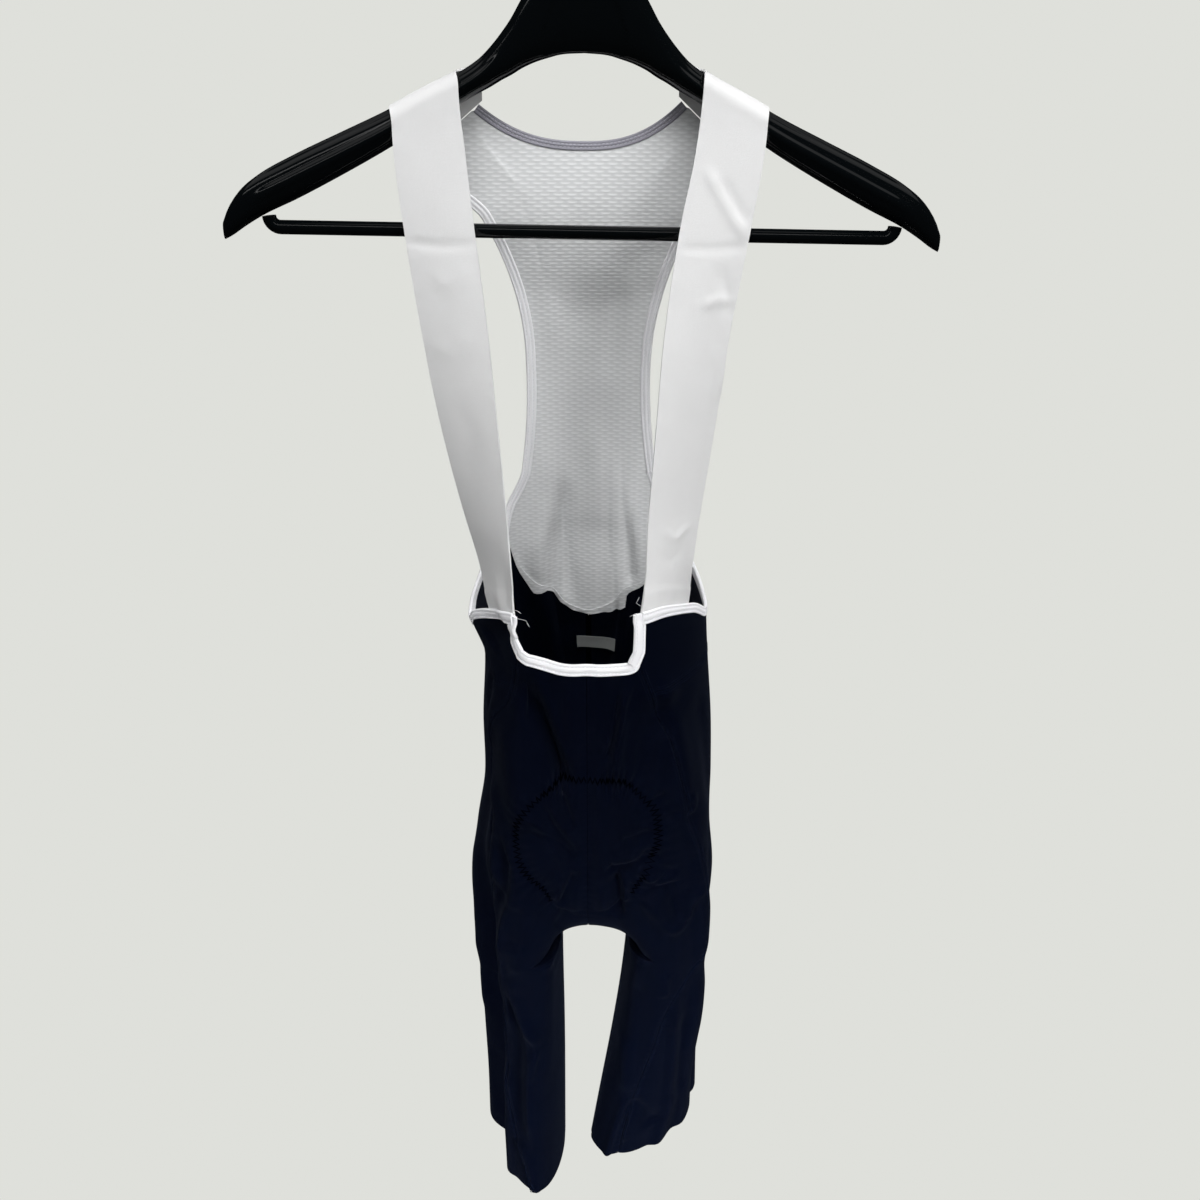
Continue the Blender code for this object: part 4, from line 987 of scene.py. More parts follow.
# %% Make an object
def piece(name, points, faces, finish, node=None, uv=None, sharp=55):
    """A mesh object from points in millimetres, riding on the root."""
    faces = [tuple(face) for face in faces]
    points = np.asarray(points, float)
    first = np.array([face[:3] for face in faces])
    corners = points[first] - points.mean(axis=0)
    if np.einsum("ij,ij->i", corners[:, 0], np.cross(corners[:, 1], corners[:, 2])).sum() < 0:
        faces = [face[::-1] for face in faces]
    mesh = bpy.data.meshes.new(name)
    mesh.from_pydata((points * MM).tolist(), [], faces)
    if uv is not None:
        layer = mesh.uv_layers.new(name="cloth")
        index = np.empty(len(mesh.loops), dtype=np.int32)
        mesh.loops.foreach_get("vertex_index", index)
        layer.data.foreach_set("uv", np.asarray(uv, float)[index].ravel())
    mesh.materials.append(finish)
    mesh.shade_smooth()
    mesh.set_sharp_from_angle(angle=math.radians(sharp))
    made = bpy.data.objects.new(name, mesh)
    bpy.context.scene.collection.objects.link(made)
    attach(made, "root")
    if node:
        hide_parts(node)
    return made


def wall_faces(rows, columns):
    """Quads of both sides of a grid and of its rim."""
    corner = (np.arange(rows - 1)[:, None] * columns + np.arange(columns - 1)).ravel()
    quads = np.stack([corner, corner + 1, corner + columns + 1, corner + columns], axis=1)
    under = rows * columns
    rim = np.concatenate([
        np.arange(columns),
        np.arange(1, rows) * columns + columns - 1,
        (rows - 1) * columns + np.arange(columns - 2, -1, -1),
        np.arange(rows - 2, 0, -1) * columns,
    ])
    after = np.roll(rim, -1)
    band = np.stack([after, rim, under + rim, under + after], axis=1)
    return np.concatenate([quads, under + quads[:, ::-1], band]).tolist()


def wall(name, grid, normals, thickness, finish, node=None, uv=None):
    """A closed wall on both sides of a grid of points."""
    half = np.asarray(thickness)[..., None] / 2 if np.ndim(thickness) else thickness / 2
    points = np.concatenate([
        (grid + normals * half).reshape(-1, 3), (grid - normals * half).reshape(-1, 3)
    ])
    if uv is None:
        uv = np.stack([cumulative(grid), run_down(grid)], axis=-1)
    uv = np.tile(uv.reshape(-1, 2), (2, 1))
    return piece(name, points, wall_faces(*grid.shape[:2]), finish, node, uv)


def tube_faces(rings, around):
    """Quads between rings of points, and a flat cap on each end."""
    ring = np.arange(rings - 1)[:, None] * around
    index = np.arange(around)
    after = (index + 1) % around
    quads = np.stack(
        [(ring + index), (ring + around + index), (ring + around + after), (ring + after)], axis=-1
    )
    caps = [list(range(around)), [(rings - 1) * around + number for number in reversed(range(around))]]
    return quads.reshape(-1, 4).tolist() + caps


def tubes(name, stacks, finish, node=None, uv=None, sharp=55):
    """One mesh of closed tubes, each a stack of rings of points."""
    points, faces, start = [], [], 0
    for rings in stacks:
        points.append(rings.reshape(-1, 3))
        faces += [[start + index for index in face] for face in tube_faces(*rings.shape[:2])]
        start += len(points[-1])
    return piece(name, np.concatenate(points), faces, finish, node, uv, sharp)


def rings_round(middles, side, lift, radius, turn):
    """A ring of points round each middle, in the plane of its two directions."""
    circle = np.cos(turn)[:, None] * side[:, None] + np.sin(turn)[:, None] * lift[:, None]
    return middles[:, None] + circle * radius


print("grid step", STEP, "mm")

# %% [markdown]
# ## Seams and threads
# A flatlock seam lies flat: the panels meet edge to edge, and parallel rows of stitches hold them. Each
# stitch is a small spindle of its own, laid along a path and sunk a little into the cloth. A bump could
# draw stitches too, but it can't catch the light from the side. All the stitches of one thread are one
# mesh, because they never move apart.


# %% Lay stitches along a path
# Gap from one stitch to the next, a stitch's length and radius, and its height over the path
STITCHES = {
    "flatlock": (2.5, 2.2, 0.34, 0.55),
    "inseam": (2.7, 2.2, 0.30, 0.55),
    "centre front": (2.6, 2.3, 0.15, 0.30),
    "centre back": (2.6, 2.3, 0.16, 0.40),
    "binding": (2.6, 2.1, 0.26, 1.00),
    "strap end": (2.4, 1.9, 0.22, 0.72),
}
# The three rings of a stitch: place along it and share of its radius
SPINDLE = ((-0.5, 0.45), (0.0, 1.0), (0.5, 0.45))


def at_places(at, run, values):
    """Points or directions read at places along a run."""
    return np.stack([np.interp(at, run, column) for column in values.T], axis=-1)


def stitch_run(kind, path, normals, offset=0.0, slant=0.0):
    """A row of straight stitches beside a path on the cloth."""
    gap, length, radius, lift = STITCHES[kind]
    side = unit(np.cross(np.gradient(path, axis=0), normals))
    path = path + side * offset + normals * lift
    run = cumulative(path)
    at = np.arange(gap / 2, run[-1], gap)
    points, out = at_places(at, run, path), unit(at_places(at, run, normals))
    along = unit(np.gradient(points, axis=0))
    return points, along + np.cross(along, out) * slant, out, length, radius


def threads(name, runs, finish):
    """One mesh of many short threads. A run is (middles, directions, normals, length, radius)."""
    stitches = []
    turn = np.arange(4) * math.pi / 2 + math.pi / 4
    for middles, along, normals, length, radius in runs:
        along = unit(along)
        side = unit(np.cross(along, normals))
        lift = np.cross(side, along)
        rings = []
        for part, swell in SPINDLE:
            centre = middles + along * length * part - normals * radius * 0.5 * abs(part)
            rings.append(rings_round(centre, side, lift, radius * swell, turn))
        stitches += list(np.stack(rings, axis=1))
    return tubes(name, stitches, finish, sharp=80)


def wire(name, paths, radius, around, finish, node=None):
    """Round threads or rods along paths, as one mesh."""
    turn = np.arange(around) * 2 * math.pi / around
    stacks = []
    for path in paths:
        along = unit(np.gradient(path, axis=0))
        # no path here runs along this direction, so it always gives a way sideways
        side = unit(np.cross(along, (0.03, 1, 0.02)))
        stacks.append(rings_round(path, side, np.cross(along, side), radius, turn))
    return tubes(name, stacks, finish, node)


# %% [markdown]
# ## The eight panels
# The shorts are cut in fronts, sides, backs and yokes, left and right. A panel lies between two seams,
# and its rows run from the hem to its upper edge. Panels never touch: each one stops a fraction of a
# millimetre short of the seam line, rolls in a little and puckers where the stitches pull. One skin with
# seams drawn on it would be simpler, but real edges catch the light and can be taken apart.

# %% Where the seams run
# Front seam: height, distance from the centre plane
FRONT_SEAM = {
    "l": np.array([
        (SCOOP + SCOOP_CORNER["l"], 47), (-556, 56), (-572, 64), (-590, 69), (-640, 73), (-700, 78),
        (-760, 82), (-800, 80), (-840, 74), (-900, 70), (-960, 66), (-1000, 57), (HEM["l"], 47),
    ]),
    "r": np.array([
        (SCOOP + SCOOP_CORNER["r"], 36), (-556, 49), (-578, 58), (-598, 63), (-636, 70), (-700, 82),
        (-760, 90), (-795, 88), (-815, 78), (-834, 66), (-886, 52), (-950, 35), (HEM["r"], 25),
    ]),
}
# Back seam: height, station
BACK_SEAM = np.array([(-470, 0.68), (-560, 0.67), (-700, 0.66), (-800, 0.66), (-1050, 0.68)])
# Upper edges of the yokes and of the back panels: station, height
YOKE_TOP = {
    "l": np.array([
        (0.3, -494), (0.34, -497), (0.42, -511), (0.47, -522), (0.52, -519), (0.6, -499), (0.68, -480),
    ]),
    "r": np.array([
        (0.26, -489), (0.32, -490.5), (0.4, -500.5), (0.47, -513.5), (0.52, -511), (0.6, -496),
        (0.68, -480),
    ]),
}
BACK_TOP = np.array([(0.68, -480), (0.71, -504), (0.76, -522), (0.84, -531), (0.9, -541), (1.0, -550)])
SCOOP_SIDE = {"l": 53.0, "r": 39.0}
BACK_PEAK = -480.0
FORK_TOP = -760.0


def front_seam(half, level):
    return station_at(half, level, through(FRONT_SEAM[half], 1, level))


def back_seam(half, level):
    return through(BACK_SEAM, 1, level)


def hug(half, station, level, side):
    """Half a seam gap, as a change of station towards +1 or -1."""
    reach = bare_section(half, station + STATION_STEP, level)
    reach = reach - bare_section(half, station - STATION_STEP, level)
    return side * SEAM_GAP * STATION_STEP / np.linalg.norm(reach, axis=-1)


def beside_seam(seam, side):
    """The edge of a panel that hugs this seam from one side."""
    def edge(half, level):
        station = seam(half, level)
        return station + hug(half, station, level, side)
    return edge


def centre_front(half, level):
    return 0 * level


def centre_back(half, level):
    return 0 * level + 1


def scoop_edge(half, part):
    """The height of the front panel's upper edge, from the centre seam to the yoke."""
    return SCOOP + SCOOP_CORNER[half] * part ** SCOOP_TURN[half]


def side_top(half, part):
    return YOKE_SEAM - SEAM_GAP / 2 + 0 * part


def back_edge_level(half, part):
    """The height of the back panel's upper edge, from the yoke to the centre seam."""
    return through(BACK_TOP, 1, BACK_TOP[0, 0] + (1 - BACK_TOP[0, 0]) * part)


# %% Sew one panel
ROLL_IN = 0.35
ROLL_REACH = 0.9
PUCKER = 0.16
PUCKER_REACH = 5.0
PUCKER_LENGTH = 6.5
# Rows of a panel from its hem up: each part's upper end and grid step
PANEL_ROWS = [
    (LEG_TOP, STEP), (CROTCH - 6, STEP * 0.75), (CROTCH + 3, STEP * 0.25), (FORK_TOP, STEP * 0.75),
    (HIP_LINE, STEP),
]


def shared_levels(half):
    """Heights of the rows that all panels share, closest together at the fork."""
    levels, low = [], HEM[half]
    for high, step in PANEL_ROWS:
        levels.append(np.linspace(low, high, count_for(high - low, step))[:-1])
        low = high
    return np.concatenate(levels + [[HIP_LINE]])


def seam_finish(grid, normals, level):
    """Roll the side edges in and pucker the cloth beside them."""
    run = cumulative(grid)
    near = np.minimum(run, run[:, -1:] - run)
    lift = -ROLL_IN * bell(near, ROLL_REACH)
    swing = np.sin(level * 2 * math.pi / PUCKER_LENGTH + 2.2 * np.sin(level / 17.0) + run[:, -1:] / 9)
    lift = lift + PUCKER * swing * bell(near, PUCKER_REACH)
    return grid + normals * lift[..., None]


def cloth_normals(half, grid, station, level):
    """Normals of a panel, the same on both sides of each seam."""
    normals = grid_normals(grid) * HALVES[half]
    for column in (0, -1):
        normals[:, column] = outward(half, station[:, column], level[:, column])
    return normals


def sew(name, half, station, level, flat, share):
    """A panel of navy cloth. Its share, the part of the flat rectangle that is cut from it, is not used."""
    grid = shorts(half, station, level)
    normals = cloth_normals(half, grid, station, level)
    uv = np.stack([station * STATION_LENGTH * HALVES[half], level], axis=-1)
    made = wall(
        name + "_cloth_" + half, seam_finish(grid, normals, level), normals, KNIT,
        navy_cloth, name + "_" + half, uv,
    )


# Name, side edges, upper edge, width and height above the hips, flat size in metres, share of it
PANELS = [
    ("front", centre_front, beside_seam(front_seam, -1), scoop_edge, 90, 40, (0.095, 0.515), 0.95),
    ("side", beside_seam(front_seam, 1), beside_seam(back_seam, -1), side_top, 130, 22, (0.165, 0.49), 0.9),
    ("back", beside_seam(back_seam, 1), centre_back, back_edge_level, 110, 50, (0.13, 0.555), 0.9),
]
for half in HALVES:
    for name, low_edge, high_edge, top, width, crown, flat, share in PANELS:
        part = spread(width)[None, :]
        level = np.repeat(shared_levels(half)[:, None], part.shape[1], axis=1)
        fraction = np.linspace(0, 1, count_for(crown))[1:, None]
        level = np.concatenate([level, HIP_LINE + fraction * (top(half, part) - HIP_LINE)])
        low, high = low_edge(half, level), high_edge(half, level)
        sew(name, half, low + (high - low) * part, level, flat, share)
print("panels sewn")


# %% Yokes
def yoke_grid(half, columns=spread(165), rows=np.linspace(0, 1, count_for(48))):
    """Stations and levels of the yoke, whose inner edge follows the scoop's side."""
    part, rows = np.asarray(columns)[None, :], np.asarray(rows)[:, None]
    stations = YOKE_TOP[half][:, 0]
    top = through(YOKE_TOP[half], 1, stations[0] + (stations[-1] - stations[0]) * part)
    low = YOKE_SEAM + SEAM_GAP / 2
    level = low + rows * (top - low)
    scoop = station_at(half, level[:, :1], SCOOP_SIDE[half])
    blend = smooth((level[:, :1] - SCOOP - SCOOP_CORNER[half]) / SCOOP_BLEND)
    inner = beside_seam(front_seam, 1)(half, level[:, :1])
    inner = inner + (scoop - inner) * blend
    outer = beside_seam(back_seam, -1)(half, level)
    return inner + (outer - inner) * part, level


for half in HALVES:
    sew("yoke", half, *yoke_grid(half), (0.165, 0.065), 0.75)
print("yokes sewn")

# %% [markdown]
# ## The mesh back
# One tall piece of honeycomb mesh rises from the back panels, narrows to a waist and spreads again to
# the straps. Its lower edge is a free curve where it was sewn in, and a few long folds run down it. A
# simulation would pull it off its seams, so a table sets its outline and both ends are read from the
# pieces it is sewn to.

# %% Sizes of the mesh back and the straps
# Mesh: height, half width, shift of its middle, depth at its middle, depth at its edges
MESH_ROWS = np.array([
    (-550, 66, 0, 60, 48),
    (-480, 61, 0, 58, 47),
    (-464, 54, 1, 55, 45),
    (-440, 47, 1, 51, 44),
    (-410, 42, 1, 47, 42),
    (-380, 39, 1, 43, 39),
    (-350, 38, 1, 39, 36),
    (-314, 40, 1.5, 35, 32),
    (-284, 46.5, 2, 31, 29),
    (-258, 55.5, 2, 27, 26),
    (-236, 65, 1, 24, 20),
    (-216, 75, 0, 21, 18),
    (-208, 86, 0, 19, 16),
    (-200, 100, 0, 17, 15),
])
MESH_HEM_BLEND = 0.2
MESH_TOP_BLEND = 0.14
MESH_DEPTH_BLEND = 0.32
MESH_CROWDING = 1.2
NECK_LOW = -198.5
NECK_DEPTH = 18.0
NECK_CURVE = 2.5
NECK_PART = 4 / 6
MESH_ON_STRAP = np.array([0.14, 0.86])
EDGE_STEP = 0.01
# Straps: height, inner edge (out, depth), outer edge (out, depth)
STRAPS = {
    "l": np.array([
        (-200, 73.0, -18, 117, -17),
        (-245, 68.5, -27, 113, -22),
        (-300, 62, -40, 106, -28),
        (-360, 57, -53, 97, -33),
        (-420, 52, -65, 84.5, -37),
        (-460, 49.5, -73, 74.5, -40),
    ]),
    "r": np.array([
        (-200, 67.5, -18, 110, -17),
        (-245, 58.5, -27, 103, -23),
        (-310, 49.5, -43, 92, -31),
        (-370, 45, -56, 84.5, -37),
        (-420, 41, -65, 77.5, -42),
        (-460, 39.5, -73, 73, -45),
    ]),
}
STRAP_OVERHANG = {"l": 5.0, "r": 2.0}
STRAP_CLEARANCE = 0.8
STRAP_ON_ARM = {"l": (78.0, 119.0), "r": (73.0, 113.0)}
STRAP_SLANT = 14.0
STRAP_LEAN = {"l": 2.4, "r": 1.0}
STRAP_BACK_DROP = np.array([24.0, 36.0])
STRAP_FOOT = {"l": 0.17, "r": 0.30}
# Hanger, level in its own frame: distance out, top, underside, half depth, forward bow
HANGER_ROWS = np.array([
    (0, -84, -143, 9, 0),
    (14, -86, -144, 9.5, 0),
    (22, -93, -146, 10, 0),
    (30, -103, -148.5, 10.3, 0),
    (38, -114.7, -152, 10.7, 0),
    (44, -124.5, -155.5, 11, 0),
    (50, -132.5, -158.5, 11.4, 0),
    (58, -141.5, -163, 11.9, 0),
    (64, -147, -166, 12, 0),
    (76, -154.4, -172.5, 12.4, 0),
    (100, -166, -186, 13, 0),
    (122, -177, -199, 13, 1),
    (150, -189.5, -214, 13, 3),
    (180, -203, -229, 12.5, 6),
    (202, -214.5, -239, 11.5, 9),
    (214, -224, -246, 10, 12),
    (221.5, -234, -251, 7.5, 14),
    (225.5, -242, -253, 4, 15),
])
HANGER_TILT = 1.0
HANGER_SHIFT = 2.5
HANGER_SQUARENESS = 2.6


# %% The hanger's skin, which straps and mesh hang from
def on_hanger(points):
    """Points given in the hanger's own frame, turned by its tilt and shifted under the hook."""
    turn = math.radians(HANGER_TILT)
    x, y, z = np.moveaxis(np.asarray(points, float), -1, 0)
    return np.stack([
        HANGER_SHIFT + x * math.cos(turn) + z * math.sin(turn),
        y,
        z * math.cos(turn) - x * math.sin(turn),
    ], axis=-1)


def arm_section(out, turn, offset=0.0):
    """A point of the hanger's skin: distance out along an arm, and turn round it from the front."""
    out, turn = np.broadcast_arrays(np.asarray(out, float), np.asarray(turn, float))
    away = np.abs(out)
    top, under = through(HANGER_ROWS, 1, away), through(HANGER_ROWS, 2, away)
    depth, bow = through(HANGER_ROWS, 3, away), through(HANGER_ROWS, 4, away)
    power = 2 / HANGER_SQUARENESS
    swing, lift = np.cos(turn), np.sin(turn)
    y = -bow - (depth + offset) * np.sign(swing) * np.abs(swing) ** power
    z = (top + under) / 2 + ((top - under) / 2 + offset) * np.sign(lift) * np.abs(lift) ** power
    return np.stack([out, y, z], axis=-1)


def strap_on_arm(half, across, turn):
    """A strap point in the hanger's frame: across 0 to 1 from the inner edge, turn from the front."""
    inner, outer = STRAP_ON_ARM[half]
    slant = STRAP_SLANT * smooth(2 * turn / math.pi - 1) + STRAP_LEAN[half] * smooth(1 - 2 * turn / math.pi)
    out = HALVES[half] * (inner + (outer - inner) * across - slant)
    return arm_section(out, turn, ELASTIC / 2 + STRAP_CLEARANCE)


def strap_rear(half, across):
    """The strap's rear end, which hangs behind the arm."""
    corners = strap_on_arm(half, np.array([0.0, 1.0]), math.pi)
    corners[:, 2] = through(HANGER_ROWS, 1, np.abs(corners[:, 0])) - STRAP_BACK_DROP
    first, last = on_hanger(corners)
    return first + (last - first) * np.asarray(across)[..., None]


# %% The mesh back's surface
def back_edge(half, part):
    """Stations and levels of the back panel's upper edge, from the yoke to the centre seam."""
    level = back_edge_level(half, part)
    seam = beside_seam(back_seam, 1)(half, level)
    return seam + (1 - seam) * part, level


def sewn_edge(half, across):
    """The mesh back's lower edge, one seam gap beyond the back panel, and the normal there."""
    def edge(part):
        return shorts(half, *back_edge(half, np.clip(part, 0, 1)))

    part = 1 - np.abs(across)
    along = edge(part + EDGE_STEP) - edge(part - EDGE_STEP)
    normal = outward(half, *back_edge(half, part))
    away = np.cross(along, normal)
    away = unit(away * np.sign(away[..., 2:]))
    return edge(part) + away * SEAM_GAP, normal


def by_half(function, across):
    """Results of a function of (half, across), each point taken from its own half."""
    left, right = function("l", across), function("r", across)
    on_left = (np.asarray(across) < 0)[..., None]
    if isinstance(left, tuple):
        return tuple(np.where(on_left, *pair) for pair in zip(left, right))
    return np.where(on_left, left, right)


def mesh_top(half, across):
    """The mesh back's upper edge: round the neck, then under the strap's rear end."""
    away = np.abs(across)
    inner, outer = MESH_ON_STRAP
    point = strap_rear(half, inner + (outer - inner) * np.clip((away - NECK_PART) / (1 - NECK_PART), 0, 1))
    point[..., 2] -= 2 * SEAM_GAP
    neck = np.clip(away / NECK_PART, 0, 1)
    point[..., 0] *= neck
    point[..., 1] += (NECK_DEPTH - point[..., 1]) * (1 - neck**2)
    point[..., 2] += (NECK_LOW - point[..., 2]) * (1 - neck**NECK_CURVE)
    return point


# Mesh folds: (distance right of the middle, height) of each bend, half width, depth (to the rear)
MESH_FOLDS = [
    ([(-14, -548), (-16, -520), (-19, -480), (-17, -430)], 7.0, 3.2),
    ([(0, -545), (6, -500), (9, -440), (6, -380)], 10.0, -2.4),
    ([(34, -552), (33, -520), (31, -480), (30, -450)], 5.0, 2.6),
    ([(-36, -530), (-38, -490), (-34, -440)], 8.0, -1.6),
    ([(22, -552), (20, -510), (22, -450), (18, -400)], 6.0, -1.2),
    ([(16, -360), (22, -300), (34, -250)], 9.0, 1.5),
    ([(-20, -340), (-28, -280), (-44, -235)], 10.0, -1.4),
    ([(-2, -330), (-6, -270), (-4, -225)], 12.0, 1.0),
    ([(50, -236), (34, -262), (24, -300)], 7.0, -1.2),
]


def mesh_back(across, rise):
    """The mesh back: across from -1 to 1 between its side edges, rise from its sewn lower edge up."""
    across, rise = np.broadcast_arrays(np.asarray(across, float), np.asarray(rise, float))
    away = np.abs(across)
    side = np.where(across < 0, -1.0, 1.0)
    low, _ = by_half(sewn_edge, across[:1] if across.ndim > 1 else across)
    corner, _ = by_half(sewn_edge, np.array([-1.0, 1.0]))
    corner = np.where((across < 0)[..., None], corner[0], corner[1])
    high, tip = by_half(mesh_top, across), by_half(mesh_top, side)
    edge_height = corner[..., 2] + (tip[..., 2] - corner[..., 2]) * rise
    ratio = low[..., 0] / corner[..., 0]
    ratio = ratio + (high[..., 0] / tip[..., 0] - ratio) * rise
    x = through(MESH_ROWS, 1, edge_height) * ratio
    x = x + (np.abs(low[..., 0]) - x) * (1 - smooth(rise / MESH_HEM_BLEND))
    x = x + (np.abs(high[..., 0]) - x) * smooth(1 - (1 - rise) / MESH_TOP_BLEND)
    height = low[..., 2] + (high[..., 2] - low[..., 2]) * rise
    shift = through(MESH_ROWS, 2, height)
    depth = through(MESH_ROWS, 3, height)
    depth = depth + (through(MESH_ROWS, 4, height) - depth) * away**2
    depth = depth + (low[..., 1] - depth) * (1 - smooth(rise / MESH_DEPTH_BLEND))
    depth = depth + (high[..., 1] - depth) * smooth(1 - (1 - rise) / MESH_DEPTH_BLEND)
    ends = smooth(rise / 0.03) * smooth((1 - rise) / 0.05) * smooth((1 - away) / 0.12)
    depth = depth + line_lift(MESH_FOLDS, side * x + shift, height) * ends
    return np.stack([side * x + shift, depth, height], axis=-1)


MESH_ACROSS = np.linspace(-1, 1, 2 * (count_for(100) - 1) + 1)
mesh_rises = 1 - (1 - np.linspace(0, 1, count_for(360))) ** MESH_CROWDING
mesh_grid = mesh_back(MESH_ACROSS[None, :], mesh_rises[:, None])
mesh_normals = -grid_normals(mesh_grid)
mesh_normals[0] = by_half(sewn_edge, MESH_ACROSS)[1]
mesh_uv = mesh_grid[..., [0, 2]]
mesh_piece = wall(
    "mesh_back_cloth", mesh_grid, mesh_normals, KNIT, mesh_cloth, "mesh_back", mesh_uv
)
print("mesh back", mesh_grid.shape, "points")

# %% The mesh's raw edge inside the back
# Across, and how far the raw edge hangs below the seam
RAW_EDGE = np.array([
    (-1.0, 1.0), (-0.86, 6.0), (-0.756, 9.0), (-0.62, 2.0), (-0.54, 2.5), (-0.457, 4.5), (-0.32, 1.5),
    (-0.206, 2.2), (0.0, 2.0), (0.14, 4.0), (0.344, 9.0), (0.452, 15.0), (0.54, 16.0), (0.565, 5.0),
    (0.7, 2.5), (1.0, 1.5),
])
RAW_INSIDE = 1.15


def raw_edge(half, across):
    """Rows of points down the inside of the back panel, from the seam to the mesh's raw edge."""
    drop = np.linspace(-1.5, 1, 7)[:, None]
    length = np.interp(across, RAW_EDGE[:, 0], RAW_EDGE[:, 1])[None, :]
    station, level = back_edge(half, 1 - np.abs(across)[None, :])
    level = level - np.where(drop > 0, drop * length, drop)
    inside = RAW_INSIDE + 0.5 * np.sin(across * 31.0)[None, :] * np.clip(drop, 0, 1)
    normals = outward(half, station, level)
    return shorts(half, station, level) - normals * inside[..., None], normals


raw_across = np.linspace(-0.98, 0.98, 2 * count_for(60))
raw_points, raw_normals = by_half(raw_edge, raw_across)
raw_piece = wall(
    "mesh_raw_edge", raw_points, raw_normals, KNIT * 0.6, mesh_cloth,
    uv=raw_points[..., [0, 2]],
)

# %% [markdown]
# ## Bindings
# Every raw edge is closed by a folded tape: it comes over the edge, is folded in half and sewn through
# with two rows of stitches, which press two grooves into it. The section below is that folded tape,
# open at its lower side where the cloth goes in, and it is swept along the edge. A bevelled curve would
# do this too, but it twists at corners; here the cloth's own normals steer the section.

# %% Sweep a folded tape along an edge
# One face of the tape, from the cloth up to the fold: distance, share of the width, half thickness
TAPE_FACE = np.array([
    (-0.9, 0, 0.8), (-0.6, 0, 1.18), (0.3, 0, 1.3), (0.9, 0, 0.92), (1.2, 0, 0.84), (1.6, 0, 0.96),
    (2.3, 0, 1.34), (-2.9, 1, 1.38), (-2.2, 1, 1.02), (-1.9, 1, 0.96), (-1.5, 1, 1.02),
    (-0.8, 1, 1.26), (-0.25, 1, 0.85), (0, 1, 0.3),
])
TAPE_SLOT = np.array([(-0.9, 0, -0.62), (0.22, 0, -0.62), (0.22, 0, 0.62), (-0.9, 0, 0.62)])
TAPE = np.concatenate([TAPE_FACE, (TAPE_FACE * (1, 1, -1))[::-1], TAPE_SLOT])
STITCH_ROWS = ((1.2, 0.0), (-1.9, 1.0))


def evened(vectors, reach):
    """Directions averaged with their neighbours, so that a tape turns a corner without folding."""
    kernel = np.hanning(2 * reach + 3)[1:-1]
    padded = np.concatenate([vectors[:1]] * reach + [vectors] + [vectors[-1:]] * reach)
    even = np.stack([np.convolve(padded[:, axis], kernel, "valid") for axis in range(3)], axis=1)
    return unit(even)


def beside(path, normals, towards, reach=4):
    """Unit directions square to a path within the cloth; the first one leans towards the vector."""
    away = unit(np.cross(np.gradient(path, axis=0), normals))
    return evened(away * np.sign(away[0] @ towards), reach)


def bound_edge(name, path, normals, across, width, finish, node):
    """The folded tape over an edge."""
    width = np.broadcast_to(np.asarray(width, float).reshape(-1, 1), (len(path), 1))
    reach = TAPE[:, 0] + TAPE[:, 1] * width
    rings = path[:, None] + across[:, None] * reach[..., None] + normals[:, None] * TAPE[:, 2][:, None]
    run = np.repeat(cumulative(path)[:, None], len(TAPE), axis=1)
    uv = np.stack([reach, run], axis=-1).reshape(-1, 2)
    return tubes(name, [rings], finish, node, uv, sharp=50)


def tape_stitches(path, normals, across, width):
    """Two rows of stitches on each face of a folded tape."""
    return [
        stitch_run("binding", path + across * (distance + share * width), normals * side)
        for distance, share in STITCH_ROWS for side in (1.0, -1.0)
    ]


# %% The strip round the scoop
TAPE_LEAD = 6.5
TAPE_UNDER = 1.3


def front_edge():
    """The scoop's edge from the left yoke to the right one, with a short lead at each end."""
    path, normals = [], []
    for half in HALVES:
        part = spread(90)[::-1]
        top = scoop_edge(half, part)
        seam = beside_seam(front_seam, -1)(half, top)
        side_station, side_level = yoke_grid(half, columns=[0.0, 1.0])
        keep = side_level[:, 0] > top[0] + 0.5
        station = np.concatenate([side_station[keep, 0][::-1], part * seam])
        level = np.concatenate([side_level[keep, 0][::-1], top])
        points, faces = shorts(half, station, level), outward(half, station, level)
        lead = unit(points[0] - points[2]) * np.linspace(TAPE_LEAD, 1.5, 4)[:, None]
        lead = lead - faces[0] * TAPE_UNDER
        points = np.concatenate([points[0] + lead, points[1:]])
        faces = np.concatenate([np.repeat(faces[:1], 4, axis=0), faces[1:]])
        if half == "r":
            points, faces = points[-2::-1], faces[-2::-1]
        path.append(points)
        normals.append(faces)
    return np.concatenate(path), evened(np.concatenate(normals), 2)


scoop_path, scoop_normals = front_edge()
scoop_across = beside(scoop_path, scoop_normals, np.array([1.0, 0, 0]), 3)
made = bound_edge(
    "waist_tape", scoop_path, scoop_normals, scoop_across, WAIST_BINDING,
    white_binding, "binding_front",
)
white_runs = tape_stitches(scoop_path, scoop_normals, scoop_across, WAIST_BINDING)
print("waist tape over", round(float(cumulative(scoop_path)[-1])), "mm of edge")


